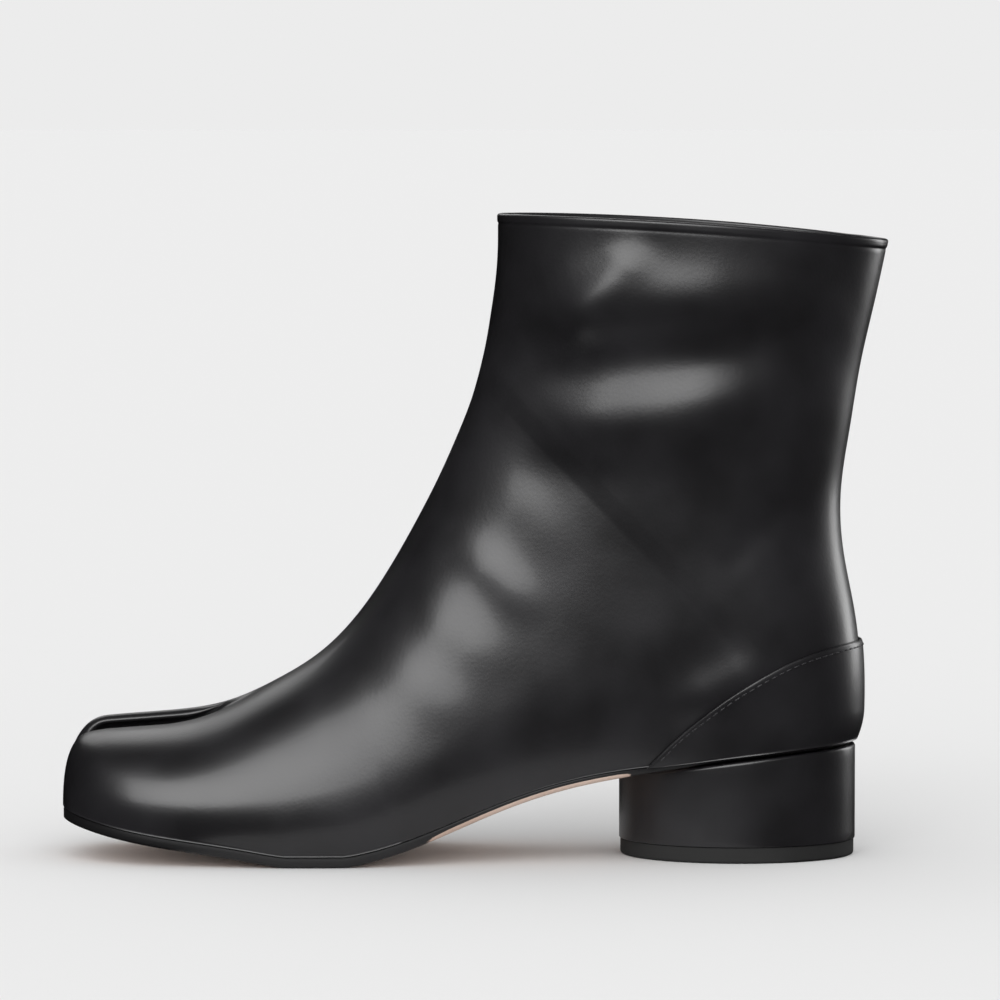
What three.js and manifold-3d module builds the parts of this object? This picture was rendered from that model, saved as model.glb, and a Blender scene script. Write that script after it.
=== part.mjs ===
// A split-toe ankle boot for the left foot, on a low round heel.
//
// The toe points to -X, the outer side of the foot is -Y and +Z is up. The boot stands on the plane z = 0,
// and its origin is the middle of its bounding box, on that plane. Lengths are in millimetres.
//
// Every leather piece is taken from one surface, the last. It is a row of sections that fan out from the
// instep: they stand upright at the toe, lean back through the heel and lie nearly flat at the collar.
// While the boot is worked out, x is the distance behind the toe tip and y is the distance to the inner side.

import * as THREE from "three";
import { mergeVertices } from "three/addons/utils/BufferGeometryUtils.js";
import Module from "manifold-3d";

const wasm = await Module();
wasm.setup();

// Driving sizes
const LAST_LENGTH = 250; // toe tip to the back of the heel
const BALL_WIDTH = 90; // widest, over the leather
const TOE_TOP = 45; // height of the toe box at the end of the split
const COLLAR_FRONT_HEIGHT = 199;
const COLLAR_BACK_HEIGHT = 191;
const COLLAR_CROWN = 1.6; // rise of the rim between its two ends
const TOE_SPRING = 12.2; // height of the sole under the toe tip
const SEAT_HEIGHT = 35.2; // height of the sole at the back of the heel

const UPPER_WALL = 2; // leather and lining
const COUNTER_WALL = 1; // leather laid over the heel
const COUNTER_HEIGHT = 67; // height of the counter's top edge at the back
const COUNTER_REACH = 69; // how far the counter runs forward from the back
const SOLE_THICKNESS = 3.3;
const SOLE_INSET = 0.8; // how far the sole's edge stands inside the leather
const SEAT_INSET = 1.2; // the same, more, where the sole crosses the heel
const SOLE_BEVEL = 1.2;
const INSOLE_THICKNESS = 2.4;

const HEEL_LENGTH = 73.4;
const HEEL_WIDTH = 62.5;
const HEEL_BACK_GAP = 3.5; // heel's back, in from the back of the last
const LIFT_THICKNESS = 5;
const LIFT_INSET = 0.4;

const SPLIT_LENGTH = 47.5; // toe tip to the end of the split on top
const SPLIT_GAP = 1.7; // clear gap between the two toe lobes
const SPLIT_ROLL = 5; // radius of the leather rolled into the split
const SPLIT_WEB = 15; // how far the web at the end of the split slopes forward on its way down
const SOLE_NOTCH = 27; // length of the notch in the sole
const LOBE_DROP = 2.2; // the outer lobe is this much lower than the big toe's

const CLEARANCE = 0.3; // between pieces that touch

// Sections of the last, from the toe tip to just above the collar. front and rise place a section's upper end on
// the toe box, instep and shaft front: front is a share of LAST_LENGTH, rise a share of the way from TOE_TOP to
// COLLAR_FRONT_HEIGHT. path places its lower end: up to 1 along the sole, from 1 to 2 up the back. outer and inner
// are half widths, as shares of BALL_WIDTH. crown is the share of the section's height that its top rounds over,
// and power is how square that rounding is. tuckOut and tuckIn are the shares that the wall draws in at the sole.
// ridge is where the top of the section lies, as a share of BALL_WIDTH.
const SECTIONS = [
  { front: 0, rise: -0.026, path: 0, outer: 0.4, inner: 0.34, crown: 0.92, power: 2.5, tuckOut: 0.05, tuckIn: 0.05, ridge: 0.033 },
  { front: 0.012, rise: -0.023, path: 0.0123, outer: 0.41, inner: 0.345, crown: 0.92, power: 2.5, tuckOut: 0.05, tuckIn: 0.05, ridge: 0.033 },
  { front: 0.056, rise: -0.015, path: 0.0572, outer: 0.44, inner: 0.36, crown: 0.92, power: 2.5, tuckOut: 0.055, tuckIn: 0.055, ridge: 0.033 },
  { front: 0.124, rise: -0.008, path: 0.1267, outer: 0.48, inner: 0.39, crown: 0.92, power: 2.45, tuckOut: 0.06, tuckIn: 0.06, ridge: 0.033 },
  { front: 0.2, rise: 0.004, path: 0.204, outer: 0.51, inner: 0.43, crown: 0.95, power: 2.35, tuckOut: 0.07, tuckIn: 0.07, ridge: 0.035 },
  { front: 0.264, rise: 0.054, path: 0.282, outer: 0.53, inner: 0.463, crown: 0.97, power: 2.25, tuckOut: 0.08, tuckIn: 0.08, ridge: 0.045 },
  { front: 0.324, rise: 0.11, path: 0.368, outer: 0.533, inner: 0.465, crown: 0.95, power: 2.15, tuckOut: 0.09, tuckIn: 0.11, ridge: 0.055 },
  { front: 0.374, rise: 0.199, path: 0.462, outer: 0.51, inner: 0.437, crown: 0.88, power: 2.08, tuckOut: 0.11, tuckIn: 0.18, ridge: 0.055 },
  { front: 0.414, rise: 0.302, path: 0.564, outer: 0.468, inner: 0.41, crown: 0.76, power: 2, tuckOut: 0.14, tuckIn: 0.24, ridge: 0.05 },
  { front: 0.444, rise: 0.391, path: 0.666, outer: 0.43, inner: 0.398, crown: 0.66, power: 2, tuckOut: 0.16, tuckIn: 0.22, ridge: 0.038 },
  { front: 0.469, rise: 0.47, path: 0.78, outer: 0.412, inner: 0.395, crown: 0.6, power: 2, tuckOut: 0.17, tuckIn: 0.19, ridge: 0.025 },
  { front: 0.492, rise: 0.556, path: 0.885, outer: 0.403, inner: 0.395, crown: 0.56, power: 2, tuckOut: 0.17, tuckIn: 0.17, ridge: 0.012 },
  { front: 0.508, rise: 0.62, path: 0.963, outer: 0.401, inner: 0.399, crown: 0.54, power: 2, tuckOut: 0.17, tuckIn: 0.17, ridge: 0 },
  { front: 0.517, rise: 0.672, path: 1.003, outer: 0.403, inner: 0.402, crown: 0.53, power: 2, tuckOut: 0.17, tuckIn: 0.17, ridge: 0 },
  { front: 0.524, rise: 0.718, path: 1.05, outer: 0.408, inner: 0.408, crown: 0.53, power: 2, tuckOut: 0.17, tuckIn: 0.17, ridge: 0 },
  { front: 0.529, rise: 0.76, path: 1.145, outer: 0.415, inner: 0.415, crown: 0.52, power: 2, tuckOut: 0.17, tuckIn: 0.17, ridge: 0 },
  { front: 0.533, rise: 0.803, path: 1.27, outer: 0.423, inner: 0.423, crown: 0.52, power: 2.02, tuckOut: 0.17, tuckIn: 0.17, ridge: 0 },
  { front: 0.537, rise: 0.845, path: 1.41, outer: 0.431, inner: 0.431, crown: 0.52, power: 2.04, tuckOut: 0.17, tuckIn: 0.17, ridge: 0 },
  { front: 0.54, rise: 0.888, path: 1.555, outer: 0.44, inner: 0.44, crown: 0.52, power: 2.06, tuckOut: 0.17, tuckIn: 0.17, ridge: 0 },
  { front: 0.5415, rise: 0.932, path: 1.702, outer: 0.449, inner: 0.449, crown: 0.52, power: 2.08, tuckOut: 0.17, tuckIn: 0.17, ridge: 0 },
  { front: 0.5415, rise: 0.976, path: 1.85, outer: 0.458, inner: 0.458, crown: 0.52, power: 2.1, tuckOut: 0.17, tuckIn: 0.17, ridge: 0 },
  { front: 0.541, rise: 1.02, path: 2, outer: 0.467, inner: 0.467, crown: 0.52, power: 2.1, tuckOut: 0.17, tuckIn: 0.17, ridge: 0 },
];

// The sole's side view, in even steps from the toe tip to the back: its underside's height as shares of TOE_SPRING
// and SEAT_HEIGHT, and its thickness as a share of SOLE_THICKNESS.
const SOLE_STEPS = [
  { toe: 1, seat: 0, thick: 1 },
  { toe: 0.63, seat: 0, thick: 1 },
  { toe: 0.39, seat: 0, thick: 1 },
  { toe: 0.18, seat: 0, thick: 1 },
  { toe: -0.08, seat: -0.02, thick: 1 },
  { toe: 0, seat: 0.02, thick: 1 },
  { toe: 0, seat: 0.215, thick: 0.95 },
  { toe: 0, seat: 0.46, thick: 0.85 },
  { toe: 0, seat: 0.645, thick: 0.8 },
  { toe: 0, seat: 0.752, thick: 0.75 },
  { toe: 0, seat: 0.832, thick: 0.45 },
  { toe: 0, seat: 0.91, thick: 0.38 },
  { toe: 0, seat: 0.968, thick: 0.38 },
  { toe: 0, seat: 1, thick: 0.38 },
];

// The back of the last, in even steps from the sole to the collar, as shares of LAST_LENGTH.
const BACK_STEPS = [0.9912, 0.994, 0.9874, 0.9682, 0.9645, 0.9793, 0.9895, 1.009, 1.0248].map((x) => ({ x }));

// Roundings of the last's ends, each a length and a squareness
const NOSE_HEIGHT_ROUND = { length: 14, power: 2.5 };
const NOSE_WIDTH_ROUND = { length: 36, power: 2.8 };
const SEAT_ROUND = 33; // length that the heel's back rounds over
const SHAFT_ROUND = 62; // the same on the shaft
const SEAT_ROUND_END = 0.45; // share of the back by which one has become the other
const FLARE = 0.32; // share of a section's height over which the drawn-in wall reaches its full width
const BACK_TUCK = 1.8; // how far the heel's back draws in at the sole
const BACK_TUCK_RISE = 9;
const SKIRT = 8; // the last goes on this far below the sole's top, to be cut off there
const RIM_SPARE = 6; // and this far above the collar

// Mesh steps
const OUTER_STATIONS = 63;
const INNER_STATIONS = 42;
const ROLL_STEPS = [0, 0.12, 0.35, 0.65, 1]; // points across the roll into the split, as shares of its radius
const CROWN_STEPS = 7;
const WALL_STEPS = [0.78, 0.55, 0.34, 0.17, 0.05, 0];

const { clamp, smoothstep, lerp } = THREE.MathUtils;

// A column of an evenly spaced table at a share of its length, as a uniform cubic B-spline.
function blend(rows, column, share) {
  const last = rows.length - 1;
  const at = clamp(share, 0, 1) * last;
  const i = Math.min(Math.floor(at), last - 1);
  const f = at - i;
  const here = rows[i][column];
  const next = rows[i + 1][column];
  const before = i > 0 ? rows[i - 1][column] : 2 * here - next;
  const after = i < last - 1 ? rows[i + 2][column] : 2 * next - here;
  return (
    (before * (1 - f) ** 3 +
      here * (3 * f ** 3 - 6 * f ** 2 + 4) +
      next * (-3 * f ** 3 + 3 * f ** 2 + 3 * f + 1) +
      after * f ** 3) /
    6
  );
}

// From 0 at an end to 1 at a distance behind it, along a quarter of a superellipse.
function rounding(distance, { length, power }) {
  const left = 1 - clamp(distance / length, 0, 1);
  return (1 - left ** power) ** (1 / power);
}

// Heights of the sole's underside and top at a distance behind the toe tip
function soleBottom(x) {
  const share = x / LAST_LENGTH;
  const height = TOE_SPRING * blend(SOLE_STEPS, "toe", share) + SEAT_HEIGHT * blend(SOLE_STEPS, "seat", share);
  return Math.max(0, height);
}

function soleTop(x) {
  return soleBottom(x) + SOLE_THICKNESS * blend(SOLE_STEPS, "thick", x / LAST_LENGTH);
}

// The back of the last at a height
const seatTop = soleTop(LAST_LENGTH);

function backLine(z) {
  const above = z - seatTop;
  const tuck = BACK_TUCK * (1 - clamp(above / BACK_TUCK_RISE, 0, 1)) ** 2;
  return LAST_LENGTH * blend(BACK_STEPS, "x", above / (COLLAR_BACK_HEIGHT - seatTop)) - tuck;
}

const seatBack = backLine(seatTop);

// The section at a share of the way from toe tip to collar: its two ends in the side view, and its sizes.
function sectionAt(share) {
  const of = (column) => blend(SECTIONS, column, share);
  const front = of("front") * LAST_LENGTH;
  const path = of("path");
  const nose = rounding(front, NOSE_HEIGHT_ROUND);
  const line = TOE_TOP + of("rise") * (COLLAR_FRONT_HEIGHT - TOE_TOP);
  const low = new THREE.Vector2(path * seatBack, soleTop(path * seatBack) - SKIRT);
  if (path > 1) {
    const climb = COLLAR_BACK_HEIGHT + RIM_SPARE - seatTop + SKIRT;
    low.y = seatTop - SKIRT + (path - 1) * climb;
    low.x = backLine(low.y);
  }
  return {
    low,
    high: new THREE.Vector2(front, lerp(soleTop(front), line, nose)),
    outer: of("outer") * BALL_WIDTH,
    inner: of("inner") * BALL_WIDTH,
    ridge: of("ridge") * BALL_WIDTH,
    round: { length: of("crown"), power: of("power") },
    tuckOut: of("tuckOut"),
    tuckIn: of("tuckIn"),
  };
}

// How much of a section's width is left at a point of the side view, for the nose, the sole and the back.
function narrowing(x, z, tuck, flare) {
  const above = z - soleTop(x);
  const drawnIn = 1 - tuck * (1 - clamp(above / flare, 0, 1)) ** 2;
  const climb = (z - seatTop) / (COLLAR_BACK_HEIGHT - seatTop);
  const length = lerp(SEAT_ROUND, SHAFT_ROUND, smoothstep(climb, 0, SEAT_ROUND_END));
  return drawnIn * rounding(x, NOSE_WIDTH_ROUND) * rounding(backLine(z) - x, { length, power: 2 });
}

// One side of a section, from its ridge down to its lower end. side is -1 for the outer side, 1 for the inner.
function sectionSide(section, side) {
  const { low, high, ridge, round } = section;
  const half = side < 0 ? section.outer + ridge : section.inner - ridge;
  const tuck = side < 0 ? section.tuckOut : section.tuckIn;
  const flare = FLARE * high.distanceTo(low);
  const split = SPLIT_GAP / 2 + SPLIT_ROLL;
  const reach = half * rounding(high.x, NOSE_WIDTH_ROUND);
  const squeeze = Math.min(1, reach / (2 * split));
  const rolled = ROLL_STEPS.map((step) => ((SPLIT_GAP / 2 + SPLIT_ROLL * step) * squeeze) / Math.max(reach, 1e-6));
  const start = Math.asin(Math.min(1, rolled.at(-1)));
  const crown = [0, ...rolled];
  for (let i = 1; i <= CROWN_STEPS; i++) crown.push(Math.sin(lerp(start, Math.PI / 2, i / CROWN_STEPS)));
  const rows = crown.map((width) => {
    const height = (1 - Math.min(1, width) ** round.power) ** (1 / round.power);
    return { width, along: 1 - round.length * (1 - height) };
  });
  for (const step of WALL_STEPS) rows.push({ width: 1, along: step * (1 - round.length) });
  return rows.map(({ width, along }) => {
    const point = low.clone().lerp(high, along);
    const y = ridge + side * half * width * narrowing(point.x, point.y, tuck, flare);
    return new THREE.Vector3(point.x, y, point.y);
  });
}

// The last as a closed mesh: for each section its outer side from the ridge down, then its inner side.
function lastGrid(stations) {
  const rings = [];
  for (let i = 0; i <= stations; i++) {
    const section = sectionAt(i / stations);
    rings.push([sectionSide(section, -1), sectionSide(section, 1)]);
  }
  const steps = rings[0][0].length;
  const points = rings.flatMap(([outer, inner]) => [...outer, ...inner.slice(1)]);
  const perRing = 2 * steps - 1;
  const index = (ring, side, k) => ring * perRing + (side && k ? steps - 1 + k : k);
  const faces = [];
  const quad = (a, b, c, d) => faces.push([a, b, c], [a, c, d]);
  for (let r = 0; r < stations; r++) {
    for (let k = 0; k < steps - 1; k++) {
      quad(index(r, 0, k), index(r, 0, k + 1), index(r + 1, 0, k + 1), index(r + 1, 0, k));
      quad(index(r, 1, k), index(r + 1, 1, k), index(r + 1, 1, k + 1), index(r, 1, k + 1));
    }
    const end = steps - 1;
    quad(index(r, 0, end), index(r, 1, end), index(r + 1, 1, end), index(r + 1, 0, end));
  }
  for (let k = 0; k < steps - 1; k++) {
    quad(index(0, 0, k), index(0, 1, k), index(0, 1, k + 1), index(0, 0, k + 1));
    quad(index(stations, 0, k), index(stations, 0, k + 1), index(stations, 1, k + 1), index(stations, 1, k));
  }
  return { points, faces };
}

// An indexed geometry from points and triangles, with points that meet merged and empty triangles left out.
function geometryOf(points, faces) {
  const loose = new THREE.BufferGeometry().setFromPoints(points);
  loose.setIndex(faces.flat());
  const merged = mergeVertices(loose, 1e-4);
  const kept = [];
  const { array } = merged.index;
  for (let i = 0; i < array.length; i += 3) {
    const [a, b, c] = array.slice(i, i + 3);
    if (a !== b && b !== c && c !== a) kept.push(a, b, c);
  }
  return merged.setIndex(kept);
}

// Moves each point of a geometry along its normal by a distance worked out from the point.
function swell(geometry, distanceAt) {
  geometry.computeVertexNormals();
  const { position, normal } = geometry.attributes;
  const point = new THREE.Vector3();
  const direction = new THREE.Vector3();
  for (let i = 0; i < position.count; i++) {
    point.fromBufferAttribute(position, i);
    direction.fromBufferAttribute(normal, i);
    point.addScaledVector(direction, distanceAt(point));
    position.setXYZ(i, point.x, point.y, point.z);
  }
  return geometry;
}

const splitLine = SECTIONS[0].ridge * BALL_WIDTH;

// How deep the leather is rolled into the split at a point: a quarter circle on each side of the gap.
function rollDepth(point) {
  const inside = SPLIT_ROLL - Math.max(0, Math.abs(point.y - splitLine) - SPLIT_GAP / 2);
  if (inside <= 0) return 0;
  const fade = 1 - smoothstep(point.x, SPLIT_LENGTH - 2 * SPLIT_ROLL, SPLIT_LENGTH + SPLIT_ROLL);
  return fade * (SPLIT_ROLL - Math.sqrt(SPLIT_ROLL ** 2 - inside ** 2));
}

// How much lower the outer lobe is at a point of the toe box
function lobeDrop(point) {
  const across = smoothstep(splitLine - point.y, -SPLIT_GAP, SPLIT_GAP);
  const along = smoothstep(point.x, 0, SPLIT_LENGTH / 4) * (1 - smoothstep(point.x, SPLIT_LENGTH * 0.7, SPLIT_LENGTH * 1.1));
  const base = soleTop(point.x);
  const high = smoothstep(point.z, base, TOE_TOP);
  return LOBE_DROP * across * along * high;
}

// The last as a solid, with its leather's outside moved out by a distance.
function lastSolid(outward, stations) {
  const { points, faces } = lastGrid(stations);
  for (const point of points) point.z -= lobeDrop(point);
  const shaped = swell(geometryOf(points, faces), (point) => -rollDepth(point));
  return solidOf(swell(shaped, () => outward));
}

// A geometry as a solid, and a solid as a geometry
function solidOf(geometry) {
  const plain = geometry.clone();
  plain.deleteAttribute("normal");
  plain.deleteAttribute("uv");
  const merged = mergeVertices(plain, 1e-4);
  const vertProperties = new Float32Array(merged.attributes.position.array);
  const triVerts = new Uint32Array(merged.index.array);
  return new wasm.Manifold(new wasm.Mesh({ numProp: 3, vertProperties, triVerts }));
}

function geometryFrom(solid) {
  const mesh = solid.getMesh();
  const geometry = new THREE.BufferGeometry();
  geometry.setAttribute("position", new THREE.BufferAttribute(mesh.vertProperties, 3));
  return geometry.setIndex(new THREE.BufferAttribute(mesh.triVerts, 1));
}

// A slab with a plan outline and a curved top and underside, each the same all the way across. outline gives its
// half widths at a distance behind the toe tip, and bevel draws in its lower edge.
function slab({ from, to, steps, outline, top, bottom, bevel = 0 }) {
  const points = [];
  for (let i = 0; i <= steps; i++) {
    const x = lerp(from, to, (1 - Math.cos((Math.PI * i) / steps)) / 2);
    const { outer, inner } = outline(x);
    const cut = Math.min(bevel, (outer + inner) / 4);
    const [high, low] = [top(x), bottom(x)];
    points.push(
      new THREE.Vector3(x, -outer, high),
      new THREE.Vector3(x, -outer, low + cut),
      new THREE.Vector3(x, cut - outer, low),
      new THREE.Vector3(x, inner - cut, low),
      new THREE.Vector3(x, inner, low + cut),
      new THREE.Vector3(x, inner, high),
    );
  }
  const faces = [];
  for (let i = 0; i < steps; i++) {
    for (let k = 0; k < 6; k++) {
      const [a, b] = [6 * i + k, 6 * i + ((k + 1) % 6)];
      faces.push([a, b, b + 6], [a, b + 6, a + 6]);
    }
  }
  const last = 6 * steps;
  for (let k = 1; k < 5; k++) faces.push([0, k + 1, k], [last, last + k, last + k + 1]);
  return solidOf(geometryOf(points, faces));
}

// A flat shape drawn in the side view and extruded across the boot, centred on a line along it.
function sideCutter(corners, width, centre) {
  const shape = new THREE.Shape(corners.map(([x, z]) => new THREE.Vector2(x, z)));
  const geometry = new THREE.ExtrudeGeometry(shape, { depth: width, bevelEnabled: false });
  geometry.rotateX(Math.PI / 2).translate(0, centre + width / 2, 0);
  return solidOf(geometry);
}

// The share of the way along the last at which a section's lower end lies at a distance behind the toe tip
function sectionShare(x) {
  let [low, high] = [0, 1];
  for (let i = 0; i < 30; i++) {
    const middle = (low + high) / 2;
    if (blend(SECTIONS, "path", middle) * seatBack < x) low = middle;
    else high = middle;
  }
  return low;
}

// Half widths of the leather where it meets the sole, less an inset
function footprint(x, inset) {
  const section = sectionAt(sectionShare(x));
  const z = soleTop(x);
  const width = (half, tuck) => Math.max(0, half * narrowing(x, z, tuck, 1) - inset);
  const ridge = section.ridge;
  return {
    outer: width(section.outer + ridge, section.tuckOut) - ridge,
    inner: width(section.inner - ridge, section.tuckIn) + ridge,
  };
}

// Cutters that trim the leather at the sole and at the collar
const FAR = 2 * LAST_LENGTH;

function underSole(gap) {
  const corners = [];
  for (let i = 0; i <= 60; i++) {
    const x = (LAST_LENGTH * i) / 60;
    corners.push([x, soleTop(x) + gap]);
  }
  corners.push([FAR, seatTop + gap], [FAR, -FAR], [-FAR, -FAR], [-FAR, soleTop(0) + gap]);
  return sideCutter(corners.reverse(), FAR, 0);
}

function aboveCollar() {
  const front = SECTIONS.at(-1).front * LAST_LENGTH;
  const back = backLine(COLLAR_BACK_HEIGHT);
  const slope = (COLLAR_BACK_HEIGHT - COLLAR_FRONT_HEIGHT) / (back - front);
  const corners = [];
  for (let i = -2; i <= 18; i++) {
    const share = i / 16;
    const x = lerp(front, back, share);
    corners.push([x, COLLAR_FRONT_HEIGHT + slope * (x - front) + 4 * COLLAR_CROWN * share * (1 - share)]);
  }
  corners.push([corners.at(-1)[0], FAR], [corners[0][0], FAR]);
  return sideCutter(corners, FAR, 0);
}

// The blade that opens the split. It is drawn in the side view, and grow makes it larger all round.
function splitBlade(length, grow) {
  const foot = length - SPLIT_WEB;
  const corners = [
    [-FAR, -FAR],
    [foot + grow, -FAR],
    [foot + grow, soleTop(foot)],
    [length - SPLIT_WEB * 0.62 + grow, lerp(soleTop(foot), TOE_TOP, 0.45)],
    [length + grow, TOE_TOP + SPLIT_ROLL],
    [-FAR, TOE_TOP + SPLIT_ROLL],
  ];
  return sideCutter(corners, SPLIT_GAP + 2 * grow, splitLine);
}

// Rounds the sole's two corners at the front of the split as the leather is rolled above them.
function splitMouth() {
  const edge = SPLIT_GAP / 2 + SPLIT_ROLL;
  const back = SOLE_INSET + SPLIT_ROLL;
  const shape = new THREE.Shape();
  shape.moveTo(-FAR, splitLine - edge);
  shape.absarc(back, splitLine - edge, SPLIT_ROLL, Math.PI, Math.PI / 2, true);
  shape.absarc(back, splitLine + edge, SPLIT_ROLL, -Math.PI / 2, -Math.PI, true);
  shape.lineTo(-FAR, splitLine + edge);
  const geometry = new THREE.ExtrudeGeometry(shape, { depth: FAR, bevelEnabled: false, curveSegments: 6 });
  return solidOf(geometry.translate(0, 0, -FAR / 2));
}

// Everything behind the counter's front edge. The edge leaves the sole steeply and levels out to the back.
function behindSeam() {
  const corners = [];
  const front = LAST_LENGTH - COUNTER_REACH;
  const base = soleTop(front);
  for (let i = 0; i <= 16; i++) {
    const along = i / 16;
    corners.push([lerp(front, LAST_LENGTH, along), lerp(COUNTER_HEIGHT, base, (1 - along) ** 2)]);
  }
  corners.push([FAR, COUNTER_HEIGHT], [FAR, -FAR], [front - 8, -FAR], [front - 8, base - 9]);
  return sideCutter(corners.reverse(), FAR, 0);
}

const soleCut = underSole(CLEARANCE);

function makeUpper() {
  const inside = lastSolid(-UPPER_WALL, INNER_STATIONS).subtract(splitBlade(SPLIT_LENGTH, UPPER_WALL));
  const shell = lastSolid(0, OUTER_STATIONS).subtract(splitBlade(SPLIT_LENGTH, 0)).subtract(inside);
  return shell.subtract(soleCut).subtract(aboveCollar());
}

function makeCounter() {
  const under = lastSolid(CLEARANCE, OUTER_STATIONS);
  const layer = lastSolid(CLEARANCE + COUNTER_WALL, OUTER_STATIONS).subtract(under);
  return layer.intersect(behindSeam()).subtract(soleCut);
}

function soleInset(x) {
  return lerp(SOLE_INSET, SOLE_INSET + SEAT_INSET, smoothstep(x, 0.66 * LAST_LENGTH, 0.8 * LAST_LENGTH));
}

function makeOutsole() {
  return slab({
    from: SOLE_INSET,
    to: seatBack - SOLE_INSET - SEAT_INSET / 2,
    steps: 56,
    outline: (x) => footprint(x, soleInset(x)),
    top: soleTop,
    bottom: soleBottom,
    bevel: SOLE_BEVEL,
  })
    .subtract(splitBlade(SOLE_NOTCH + SPLIT_WEB, 0))
    .subtract(splitMouth());
}

function makeInsole() {
  const inset = UPPER_WALL + CLEARANCE;
  const top = underSole(CLEARANCE + INSOLE_THICKNESS);
  const filling = lastSolid(-inset, INNER_STATIONS).intersect(top);
  return filling.subtract(soleCut).subtract(splitBlade(SPLIT_LENGTH, inset));
}

// The heel is an oval block under the seat, cut to the sole's underside, on a thin lift.
const heelMiddle = LAST_LENGTH - HEEL_BACK_GAP - HEEL_LENGTH / 2;

function heelOutline(inset) {
  return (x) => {
    const along = (x - heelMiddle) / (HEEL_LENGTH / 2 - inset);
    const half = (HEEL_WIDTH / 2 - inset) * Math.sqrt(Math.max(0, 1 - along ** 2));
    return { outer: half, inner: half };
  };
}

function makeHeelPart(inset, top, bottom) {
  const reach = HEEL_LENGTH / 2 - inset;
  return slab({
    from: heelMiddle - reach,
    to: heelMiddle + reach,
    steps: 26,
    outline: heelOutline(inset),
    top,
    bottom,
  });
}

const black = { color: 0x101011, metalness: 0 };
const smoothCalf = new THREE.MeshStandardMaterial({ ...black, roughness: 0.36 });
const soleLeather = new THREE.MeshStandardMaterial({ color: 0xc9ab90, metalness: 0, roughness: 0.7 });
const liningLeather = new THREE.MeshStandardMaterial({ ...black, roughness: 0.6 });
const liftRubber = new THREE.MeshStandardMaterial({ ...black, roughness: 0.55 });

const pieces = [
  ["upper", makeUpper(), smoothCalf],
  ["counter", makeCounter(), smoothCalf],
  ["outsole", makeOutsole(), soleLeather],
  ["insole", makeInsole(), liningLeather],
  ["heel", makeHeelPart(0, (x) => soleBottom(x) - CLEARANCE, () => LIFT_THICKNESS + CLEARANCE), smoothCalf],
  ["top_lift", makeHeelPart(LIFT_INSET, () => LIFT_THICKNESS, () => 0), liftRubber],
];

const boot = new THREE.Group();
for (const [name, solid, material] of pieces) {
  const mesh = new THREE.Mesh(geometryFrom(solid), material);
  mesh.name = name;
  boot.add(mesh);
}

// The origin goes to the middle of the bounding box, on the floor.
const middle = new THREE.Box3().setFromObject(boot).getCenter(new THREE.Vector3());
boot.position.set(-middle.x, -middle.y, 0);

export default boot;
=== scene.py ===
"""A split-toe ankle boot for the left foot: its leather, sole, heel and stitching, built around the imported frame.

The toe points to -X, the outer side of the foot is -Y and +Z is up. Inside this file lengths are in millimetres, x is
the distance behind the toe tip and y the distance to the inner side. A piece is moved to the frame, in metres, when
its mesh is made.
"""

import logging
from dataclasses import dataclass, field
from enum import Enum
from functools import cache

import bpy
import numpy as np
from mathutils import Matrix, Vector


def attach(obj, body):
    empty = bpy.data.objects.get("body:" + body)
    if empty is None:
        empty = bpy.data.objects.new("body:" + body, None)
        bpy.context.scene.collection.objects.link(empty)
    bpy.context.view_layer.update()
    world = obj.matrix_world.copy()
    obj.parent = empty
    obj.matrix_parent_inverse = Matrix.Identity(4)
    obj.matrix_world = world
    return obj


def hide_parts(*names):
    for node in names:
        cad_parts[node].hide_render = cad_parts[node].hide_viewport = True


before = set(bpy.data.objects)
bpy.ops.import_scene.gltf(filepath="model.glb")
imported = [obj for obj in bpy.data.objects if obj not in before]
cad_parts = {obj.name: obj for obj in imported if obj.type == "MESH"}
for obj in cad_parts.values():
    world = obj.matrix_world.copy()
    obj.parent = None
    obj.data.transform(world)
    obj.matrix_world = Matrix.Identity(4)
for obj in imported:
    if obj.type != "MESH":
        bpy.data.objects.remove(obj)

Array = np.ndarray

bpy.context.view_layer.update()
MM = 0.001
FRAME_ORIGIN = np.array([128.3245, -1.8131, 0.0])  # where the frame's origin lies in the boot's own sizes

log = logging.getLogger("boot")


def clamp(value: Array) -> Array:
    """The value kept between 0 and 1."""
    return np.clip(value, 0.0, 1.0)


def smoothstep(value: Array, low: float, high: float) -> Array:
    """From 0 at low to 1 at high, level at both ends.

    Args:
        value: Where to read the step.
        low: Value at which it leaves 0.
        high: Value at which it reaches 1.

    Returns:
        3t^2 - 2t^3, with t the share of the way from low to high.
    """
    share = clamp((value - low) / (high - low))
    return share * share * (3 - 2 * share)


def lerp(start: Array, end: Array, share: Array) -> Array:
    """The value at a share of the way from start to end."""
    return start + (end - start) * share


def rounding(distance: Array, length: float, power: float) -> Array:
    """From 0 at an end to 1 at a distance behind it, along a quarter of a superellipse.

    Args:
        distance: Distance behind the end.
        length: Length over which the end rounds.
        power: How square the rounding is.

    Returns:
        The p-th root of 1 - (1 - distance / length)^p.
    """
    left = 1 - clamp(distance / length)
    return (1 - left**power) ** (1 / power)


def spline(column: Array, share: Array) -> Array:
    """An evenly spaced column of values read as a uniform cubic B-spline.

    Args:
        column: The values.
        share: Where to read it, as a share of its length.

    Returns:
        The weighted mean of the four values around each share, with a reflected value past either end.
    """
    last = len(column) - 1
    ends = [2 * column[0] - column[1]], [2 * column[-1] - column[-2]]
    padded = np.concatenate([ends[0], column, ends[1]])
    at = clamp(share) * last
    i = np.minimum(at.astype(int), last - 1)
    f = at - i
    before, here, following, after = (padded[i + k] for k in range(4))
    inner = here * (3 * f**3 - 6 * f**2 + 4) + following * (-3 * f**3 + 3 * f**2 + 3 * f + 1)
    return (before * (1 - f) ** 3 + inner + after * f**3) / 6


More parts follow.
